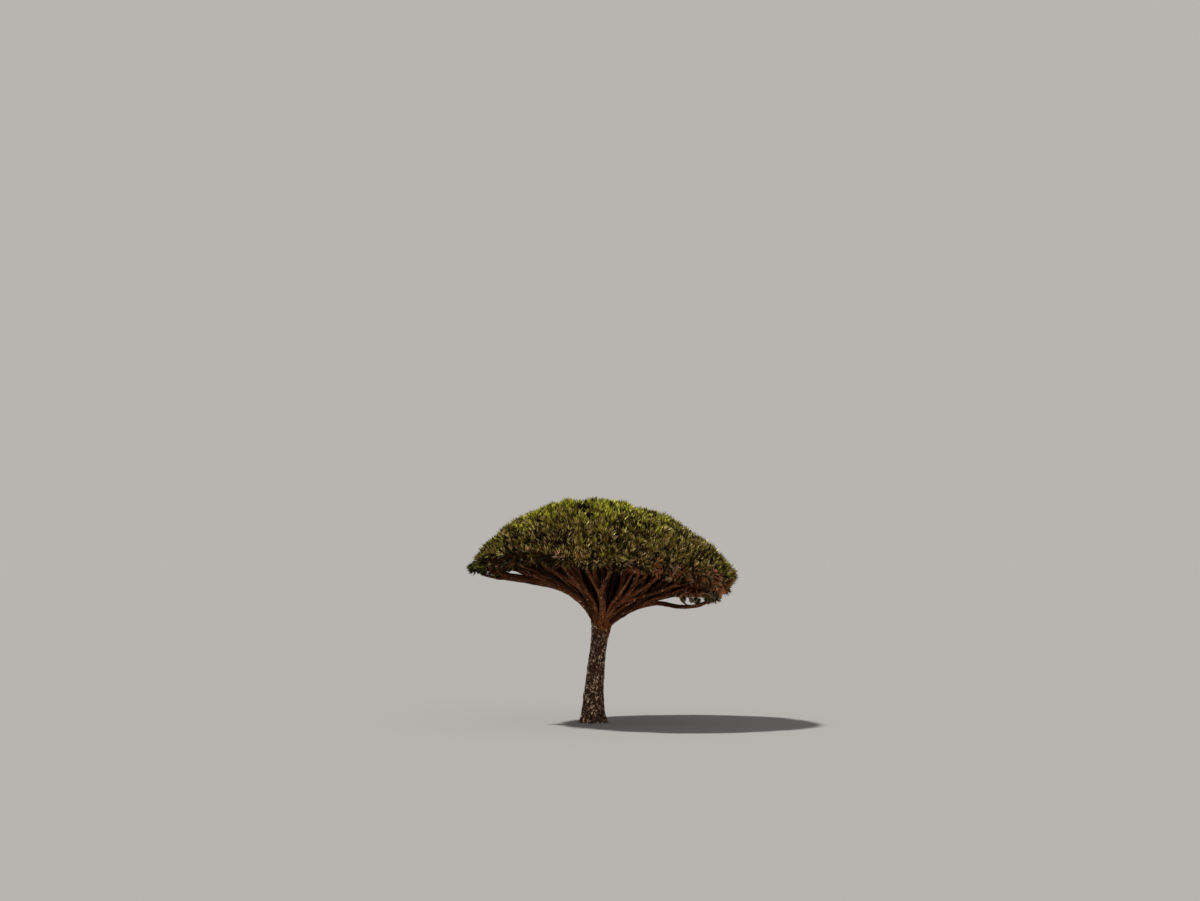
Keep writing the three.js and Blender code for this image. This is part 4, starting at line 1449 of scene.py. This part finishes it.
# ---------------------------------------------------------------- leaves
def leaf_arrays():
    R = len(heart)
    count = np.where(kind == 3, 46, np.where(kind == 2, 29, np.where(brown, 31, 37))).astype(int)
    count = count + rng.integers(-6, 7, R)
    count = np.where(alive, count, 0)
    idx = np.repeat(np.arange(R), count)
    first = np.concatenate([[0], np.cumsum(count)[:-1]])
    k = np.arange(len(idx)) - first[idx]
    u = (k + rng.random(len(idx))) / count[idx]  # 0 young, in the middle, to 1 old, outside
    turn = rng.random(R) * 2 * math.pi
    psi = turn[idx] + k * 2.399963 + 0.25 * rng.standard_normal(len(idx))
    spread = np.where(brown, 88, 62)[idx]
    theta = np.radians(4 + spread * u**0.9 + 6 * rng.standard_normal(len(idx)))
    a = axis[idx]
    ref = np.where(np.abs(a[:, 2:3]) < 0.9, np.array([[0.0, 0, 1]]), np.array([[1.0, 0, 0]]))
    e1 = unit(np.cross(ref, a))
    e2 = np.cross(a, e1)
    d = (
        np.cos(theta)[:, None] * a
        + np.sin(theta)[:, None] * (np.cos(psi)[:, None] * e1 + np.sin(psi)[:, None] * e2)
    )
    nrm = unit(a - d * np.sum(a * d, 1)[:, None])
    side = np.cross(d, nrm)
    twist = 0.75 * rng.standard_normal(len(idx))
    s2 = side * np.cos(twist)[:, None] + nrm * np.sin(twist)[:, None]
    big = np.where(brown, rng.uniform(0.55, 0.80, R), rng.uniform(0.86, 1.12, R))
    for name, share in (("tuft_left_tip", 0.85), ("tuft_low_right", 0.80), ("tuft_low_middle", 0.58), ("tuft_low_inner", 0.50)):
        big[tuft_tips[name]] *= share
    big = big[idx]
    length = LEAF * big * rng.uniform(0.78, 1.12, len(idx)) * np.where(u < 0.12, 0.8, 1.0)
    wide = LEAF_WIDE * rng.uniform(0.85, 1.15, len(idx)) * np.where(kind[idx] == 3, 0.72, 1.0)
    droop = 0.08 + 0.24 * u
    d2 = unit(d + np.array([0, 0, -1.0]) * droop[:, None] * 0.7 - nrm * 0.06)
    o = heart[idx] + a * (0.055 * (1 - u) - 0.045 * u)[:, None]
    bl = o - s2 * (wide * 0.40)[:, None]
    br = o + s2 * (wide * 0.40)[:, None]
    mc = o + d * (length * 0.48)[:, None]
    ml = mc - s2 * (wide * 0.5)[:, None]
    mr = mc + s2 * (wide * 0.5)[:, None]
    tip = mc + d2 * (length * 0.52)[:, None]
    leaves = np.stack([bl, br, mr, ml, tip], 1)
    loose = kind[idx] == 3
    clear = ~((in_gaps(tip) | in_gaps(mc)) & ~loose) & ~(in_gaps(tip, 0.6) & loose)
    return idx[clear], u[clear], leaves[clear]


idx, u_leaf, leaf = leaf_arrays()


# Where light came through the crown in small spots, one spray more each.
LIGHT_SPOTS = (
    (4.17, 0.60, 4.20), (3.49, -2.30, 4.52), (4.22, -0.45, 4.22), (0.43, -2.56, 6.18), (2.48, -1.67, 5.92), (2.18, -1.40, 5.83),
    (1.54, 3.62, 4.26), (3.18, 2.62, 4.12), (3.25, -2.55, 4.57), (2.74, -2.96, 4.58),
    (-0.08, 3.72, 4.66),
)


def inner_leaves(hearts, axes, gen):
    """Broad old leaves, four corners each."""
    R = len(hearts)
    per_spray = 30
    i = np.repeat(np.arange(R), per_spray)
    n = len(i)
    a = axes[i]
    e1 = unit(np.cross(a, gen.standard_normal((n, 3))))
    theta = np.radians(gen.uniform(18, 98, n))
    d = np.cos(theta)[:, None] * a + np.sin(theta)[:, None] * e1
    side = unit(np.cross(d, a + 0.5 * gen.standard_normal((n, 3))))
    long = gen.uniform(0.20, 0.29, n)[:, None]
    wide = gen.uniform(0.046, 0.062, n)[:, None]
    o = hearts[i] + 0.03 * gen.standard_normal((n, 3))
    mid = o + d * long * 0.40
    tip = o + d * long + np.array([0, 0, -0.03])
    v = np.stack([o, mid + side * wide * 0.5, tip, mid - side * wide * 0.5], 1)
    clear = ~(in_gaps(tip, 1.1) | in_gaps(mid, 1.1))
    return i[clear], v[clear]


inner_idx, inner_leaf = inner_leaves(inner_heart, inner_axis, rng)
if LIGHT_SPOTS:
    spots = np.array(LIGHT_SPOTS)
    more_idx, more_leaf = inner_leaves(spots, unit(spots - np.array([CROWN_X, 0, 4.6])), np.random.default_rng(811))
    inner_idx = np.concatenate([inner_idx, more_idx + len(inner_heart)])
    inner_leaf = np.concatenate([inner_leaf, more_leaf])
print("leaves", len(idx), len(inner_idx), "leaf triangles", len(idx) * 3 + len(inner_idx) * 2)

# Colour by rosette and age: bright on top and on the lit left side, which is painted sunlight, olive on the face, brown
# and dry below; in every rosette the young leaves are light and the old ones dark, partly their own colour and partly
# painted shade.
#         lime fresh green olive khaki dark bronze rust straw pink (dark: old leaves and painted shade)
SHARES = {
    "young": (
        (0.00, 0.04, 0.08, 0.40, 0.26, 0.07, 0.15, 0.00, 0.00, 0.00),
        (0.02, 0.16, 0.08, 0.41, 0.24, 0.09, 0.00, 0.00, 0.00, 0.00),
        (0.57, 0.21, 0.03, 0.05, 0.02, 0.12, 0.00, 0.00, 0.00, 0.00),
    ),
    "grown": (
        (0.00, 0.00, 0.06, 0.20, 0.10, 0.36, 0.26, 0.02, 0.00, 0.00),
        (0.00, 0.04, 0.10, 0.26, 0.10, 0.34, 0.16, 0.00, 0.00, 0.00),
        (0.19, 0.17, 0.10, 0.08, 0.01, 0.42, 0.03, 0.00, 0.00, 0.00),
    ),
    "old": (
        (0.00, 0.00, 0.00, 0.05, 0.04, 0.63, 0.20, 0.05, 0.03, 0.00),
        (0.00, 0.00, 0.03, 0.09, 0.04, 0.60, 0.20, 0.02, 0.02, 0.00),
        (0.00, 0.02, 0.06, 0.09, 0.01, 0.70, 0.12, 0.00, 0.00, 0.00),
    ),
}
BROWN_SHARES = {
    "young": (0.00, 0.00, 0.00, 0.06, 0.08, 0.20, 0.05, 0.38, 0.05, 0.18),
    "grown": (0.00, 0.00, 0.00, 0.02, 0.03, 0.39, 0.05, 0.33, 0.05, 0.13),
    "old": (0.00, 0.00, 0.00, 0.00, 0.02, 0.51, 0.04, 0.30, 0.03, 0.10),
}
# Off the front the dead leaves are duller, greyer brown.
DULL_SHARES = {
    "young": (0.00, 0.02, 0.08, 0.30, 0.16, 0.18, 0.16, 0.08, 0.02, 0.00),
    "grown": (0.00, 0.00, 0.03, 0.14, 0.08, 0.42, 0.20, 0.11, 0.02, 0.00),
    "old": (0.00, 0.00, 0.00, 0.04, 0.04, 0.60, 0.16, 0.13, 0.02, 0.01),
}
EDGE_SHARES = {
    "young": (0.06, 0.34, 0.26, 0.20, 0.04, 0.06, 0.04, 0.00, 0.00, 0.00),
    "grown": (0.01, 0.14, 0.26, 0.18, 0.03, 0.28, 0.10, 0.00, 0.00, 0.00),
    "old": (0.00, 0.02, 0.16, 0.12, 0.01, 0.52, 0.15, 0.01, 0.01, 0.00),
}
# Just above the leaf line in front, where old leaves and stalks show through.
LINE_SHARES = {
    "young": (0.00, 0.00, 0.04, 0.24, 0.37, 0.10, 0.00, 0.12, 0.07, 0.06),
    "grown": (0.00, 0.00, 0.00, 0.14, 0.17, 0.34, 0.11, 0.17, 0.03, 0.04),
    "old": (0.00, 0.00, 0.00, 0.00, 0.05, 0.55, 0.15, 0.19, 0.02, 0.04),
}
# Painted shade: the left tip takes a darker palette than the rest of the crown.
TIP_SHADE_SHARES = {
    "young": (0.00, 0.12, 0.42, 0.06, 0.00, 0.36, 0.04, 0.00, 0.00, 0.00),
    "grown": (0.00, 0.00, 0.27, 0.06, 0.00, 0.58, 0.09, 0.00, 0.00, 0.00),
    "old": (0.00, 0.00, 0.00, 0.02, 0.00, 0.85, 0.12, 0.01, 0.00, 0.00),
}
LOOSE_SHARES = {
    "young": (0.00, 0.02, 0.14, 0.22, 0.22, 0.24, 0.00, 0.00, 0.16, 0.00),
    "grown": (0.00, 0.00, 0.15, 0.12, 0.08, 0.50, 0.03, 0.00, 0.12, 0.00),
    "old": (0.00, 0.00, 0.00, 0.00, 0.04, 0.68, 0.12, 0.02, 0.14, 0.00),
}
SHADE_SHARES = {
    "young": (0.00, 0.00, 0.08, 0.10, 0.02, 0.46, 0.29, 0.05, 0.00, 0.00),
    "grown": (0.00, 0.00, 0.03, 0.03, 0.00, 0.62, 0.26, 0.06, 0.00, 0.00),
    "old": (0.00, 0.00, 0.00, 0.00, 0.00, 0.74, 0.20, 0.06, 0.00, 0.00),
}
tone = rng.standard_normal(int(clump.max()) + 1)
patchy = 0.7 * noise(heart * 1.5, 201) + 0.30 * tone[clump]
share_tip = np.concatenate([np.sin(np.clip(w_tip, 0, 1) * math.pi / 2), np.ones(len(heart) - shell)])
# Painted sunlight: through sun the top and the lit side on the left take lighter, yellower leaf colours, and the face
# darker ones.
turned = np.arctan2(heart[:, 1], heart[:, 0] - CROWN_X) - math.radians(176)
turned = np.arctan2(np.sin(turned), np.cos(turned))
lit_side = np.exp(-((turned / math.radians(38)) ** 2)) * (kind == 0) * np.clip(share_tip * 1.5, 0, 1)
sun = np.clip(0.98 - 0.80 * share_tip**1.5 + 0.38 * lit_side + 0.12 * patchy, 0, 1)
sun = np.where(kind == 3, 0.05, sun)
turned = np.arctan2(heart[:, 1], heart[:, 0] - CROWN_X)
green_side = 0.8 * np.exp(-((turned / math.radians(27)) ** 2)) * (kind == 0) * np.clip((share_tip - 0.35) * 2, 0, 1)
turned = np.arctan2(np.sin(turned - math.pi), np.cos(turned - math.pi))
green_side = np.maximum(green_side, 0.7 * np.exp(-((turned / math.radians(42)) ** 2)) * (kind < 2) * np.clip((share_tip - 0.86) * 9, 0, 1))
# Painted shade between the clumps: rosettes at a clump's edge take in the near-black leaf colour.
clump_edge_shade = np.zeros(len(heart))
clump_edge_shade[:shell] = np.clip((crease / CREASE - 0.50) / 0.35, 0, 1)
between = clump_edge_shade * np.clip(0.42 + 0.45 * sun + 0.25 * noise(heart * 2.7, 69), 0, 0.9) * (~brown)
near_line = np.clip(1 - (front_z - leaf_line) / 0.58, 0, 1) ** 0.8 * np.clip((1.6 - heart[:, 1]) / 0.8, 0, 1)
near_line *= 0.60 * np.clip((front_x + 2.9) / 0.9, 0, 1) * np.clip((2.4 - front_x) / 0.6, 0, 1) * (kind < 2)
# Painted shade in hollows in the front of the crown, where it lies in its own shade.
hollow_shade = np.zeros(len(heart))
for hx, hz, hr in ((-2.58, 5.70, 0.24), (-1.74, 5.86, 0.22), (-1.12, 5.93, 0.20), (-0.25, 6.82, 0.12), (1.52, 6.20, 0.17), (0.72, 5.72, 0.26), (3.02, 5.98, 0.18), (3.50, 5.18, 0.20)):
    hollow_shade = np.maximum(hollow_shade, np.exp(-(((front_x - hx) / (hr * 1.3)) ** 2) - ((front_z - hz) / hr) ** 2))
between = np.maximum(between, 0.55 * hollow_shade * (kind == 0) * (~brown) * (heart[:, 1] < 0.8))
# how far a brown rosette is turned from the front
duller = np.clip(0.04 + 0.50 * noise(heart * 2.3, 67) + 0.65 * np.clip((heart[:, 1] - 0.9) / 0.9, 0, 1) + 0.25 * np.clip((-2.2 - heart[:, 1]) / 0.6, 0, 1), 0, 1)


def leaf_colours():
    n = len(idx)
    age = u_leaf + 0.10 * rng.standard_normal(n)
    band = np.where(age < 0.30, 0, np.where(age < 0.62, 1, 2))
    own = rng.random(len(heart))[idx]  # half of a rosette's leaves agree
    roll = np.where(rng.random(n) < 0.45, own, rng.random(n))
    s = sun[idx]
    low, face, top = (np.array([SHARES[k][z] for k in ("young", "grown", "old")])[band] for z in (0, 1, 2))
    t1 = np.clip(s / 0.45, 0, 1)[:, None]
    t2 = np.clip((s - 0.45) / 0.45, 0, 1)[:, None]
    p = np.where(s[:, None] < 0.45, mix(low, face, t1), mix(face, top, t2))
    p = mix(p, np.array([EDGE_SHARES[k] for k in ("young", "grown", "old")])[band], green_side[idx][:, None])
    p = mix(p, np.array([LINE_SHARES[k] for k in ("young", "grown", "old")])[band], near_line[idx][:, None])
    rusty, dull = (np.array([t[k] for k in ("young", "grown", "old")])[band] for t in (BROWN_SHARES, DULL_SHARES))
    p = np.where(brown[idx][:, None], mix(rusty, dull, duller[idx][:, None]), p)
    shade = (brown & (heart[:, 0] < 0.9))[idx][:, None]
    p = np.where(shade, np.array([SHADE_SHARES[k] for k in ("young", "grown", "old")])[band], p)
    # Painted shade at the left tip.
    left_tip = (heart[:, 0] < -3.30) & (heart[:, 2] < 5.12)
    p = np.where(left_tip[idx][:, None], np.array([TIP_SHADE_SHARES[k] for k in ("young", "grown", "old")])[band], p)
    loose = (kind == 3) & ~left_tip
    p = np.where(loose[idx][:, None], np.array([LOOSE_SHARES[k] for k in ("young", "grown", "old")])[band], p)
    dry_end = np.maximum(np.clip((heart[:, 0] - 3.72) / 0.12, 0, 1), 0.6 * (heart[:, 0] < 3.35)) * loose
    p = mix(p, 0.8 * np.eye(10)[LI["straw"]] + 0.2 * np.eye(10)[LI["khaki"]], 0.50 * dry_end[idx][:, None])
    # Painted shade: the near-black leaf colour mixed in between clumps and in the hollows.
    p = mix(p, np.eye(10)[LI["old_and_shade"]], between[idx][:, None])
    p = np.cumsum(p, 1)
    p = p / p[:, -1:]
    return np.clip((roll[:, None] > p).sum(1), 0, len(leaf_names) - 1)


col = leaf_colours()
few_red = np.where(heart[:, 0] < -2.3, True, (heart[:, 0] < -0.8) & (np.arange(len(heart)) % 4 > 0))
few_red |= ~brown & (np.arange(len(heart)) % 2 > 0)
col[(col == LI["rust"]) & few_red[idx]] = LI["bronze"]

# Pieces by sector of the crown.
sector_a = np.degrees(np.arctan2(heart[:, 1], heart[:, 0] - CROWN_X)) % 360
SECTORS = 5
sec = ((sector_a + 90) % 360 // (360 / SECTORS)).astype(int)
leaf_obs = []
for s in range(SECTORS):
    pickd = np.nonzero(sec[idx] == s)[0]
    v = leaf[pickd].reshape(-1, 3)
    b = np.arange(len(pickd)) * 5
    quads = np.stack([b, b + 1, b + 2, b + 3], 1)
    tris = np.stack([b + 3, b + 2, b + 4], 1)
    c = col[pickd]
    ob = new_mesh("leaves_%d" % (s + 1), v, [quads, tris], np.concatenate([c, c]), smooth=False)
    for mat in leaf_mats:
        ob.data.materials.append(mat)
    leaf_obs.append(ob)

# The old sprays inside are mostly near black: old leaves with painted shade.
inner_col = np.array([LI[n] for n in ("old_and_shade", "old_and_shade", "old_and_shade", "bronze", "bronze", "olive", "rust")])[rng.integers(0, 7, len(inner_heart) + len(LIGHT_SPOTS))]
off_right = np.ones(len(inner_col), bool)
off_right[: len(inner_heart)] = inner_heart[:, 0] < 0.9
inner_col[(inner_col == LI["rust"]) & off_right] = LI["bronze"]
inner_col = inner_col[inner_idx]
v = inner_leaf.reshape(-1, 3)
quads = np.arange(len(inner_idx) * 4).reshape(-1, 4)
old_ob = new_mesh("leaves_old", v, [quads], inner_col, smooth=False)
for mat in leaf_mats:
    old_ob.data.materials.append(mat)

# ---------------------------------------------------------------- the frame
node_names = list(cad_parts)
crown_nodes = [n for n in node_names if n.startswith(("crown", "tuft"))]
wood_nodes = [n for n in node_names if n == "trunk" or n.startswith(("bough", "inner"))]
limb_nodes = [n for n in node_names if n.startswith(("limb", "riser", "low"))]
per = {s: [] for s in range(SECTORS)}
for n in crown_nodes:
    lo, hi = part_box(n)
    c = [(lo[i] + hi[i]) / 2 for i in range(3)]
    s = int(((math.degrees(math.atan2(c[1], c[0] - CROWN_X)) + 90) % 360) // (360 / SECTORS))
    per[s].append(n)
for s, ob in enumerate(leaf_obs):
    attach(ob, "root")
    if per[s]:
        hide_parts(*per[s])
for ob, nodes, slot in ((wood, wood_nodes, "bough_bark"), (limb_ob, limb_nodes, "bough_bark")):
    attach(ob, "root")
    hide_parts(*nodes)
for ob in (stem_ob, branch_ob, twig_ob):
    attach(ob, "root")
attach(old_ob, "root")

# ---------------------------------------------------------------- studio
me = bpy.data.meshes.new("floor")
S = 900
me.from_pydata([(-S, -S, 0), (S, -S, 0), (S, S, 0), (-S, S, 0)], [], [(0, 1, 2, 3)])
floor = bpy.data.objects.new("floor", me)
bpy.context.collection.objects.link(floor)
fm, fb = principled("floor_paper", (0.2116, 0.2126, 0.2186), 0.95, 0.1)
me.materials.append(fm)

world = bpy.data.worlds.new("studio")
world.use_nodes = True
bg = world.node_tree.nodes["Background"]
bg.inputs["Color"].default_value = (1.0, 0.965, 0.915, 1)
bg.inputs["Strength"].default_value = 0.48
bpy.context.scene.world = world


def sun_lamp(name, direction, strength, angle, color=(1, 1, 1)):
    light = bpy.data.lights.new(name, "SUN")
    light.energy = strength
    light.angle = math.radians(angle)
    light.color = color
    ob = bpy.data.objects.new(name, light)
    bpy.context.collection.objects.link(ob)
    ob.rotation_euler = Vector(direction).to_track_quat("Z", "Y").to_euler()
    ob.location = Vector(direction) * 20
    return ob


sun_lamp("key", (-0.48, 0.10, 0.87), 6.0, 3.5, (1.0, 0.96, 0.88))
sun_lamp("fill", (0.45, -0.75, 0.40), 0.4, 40, (1.0, 0.93, 0.84))

cam = bpy.data.cameras.new("camera")
cam.sensor_width = 17.3
cam.lens = 35.0
cam.clip_end = 3000
cam_ob = bpy.data.objects.new("camera", cam)
bpy.context.collection.objects.link(cam_ob)
cam_ob.location = (0.24, -77.69, 5.45)
cam_ob.rotation_euler = (math.radians(90 + 2.3767), 0, 0)
bpy.context.scene.camera = cam_ob
bpy.context.scene.view_settings.view_transform = "Standard"
bpy.context.scene.view_settings.look = "None"

tri = 0
for o in [wood, limb_ob, stem_ob, branch_ob, twig_ob, old_ob] + leaf_obs:
    k = sum(len(p.vertices) - 2 for p in o.data.polygons) if len(o.data.polygons) < 1000 else None
    if k is None:
        tot = np.empty(len(o.data.polygons), np.int32)
        o.data.polygons.foreach_get("loop_total", tot)
        k = int((tot - 2).sum())
    tri += k
    print("piece", o.name, k)
print("triangles", tri)
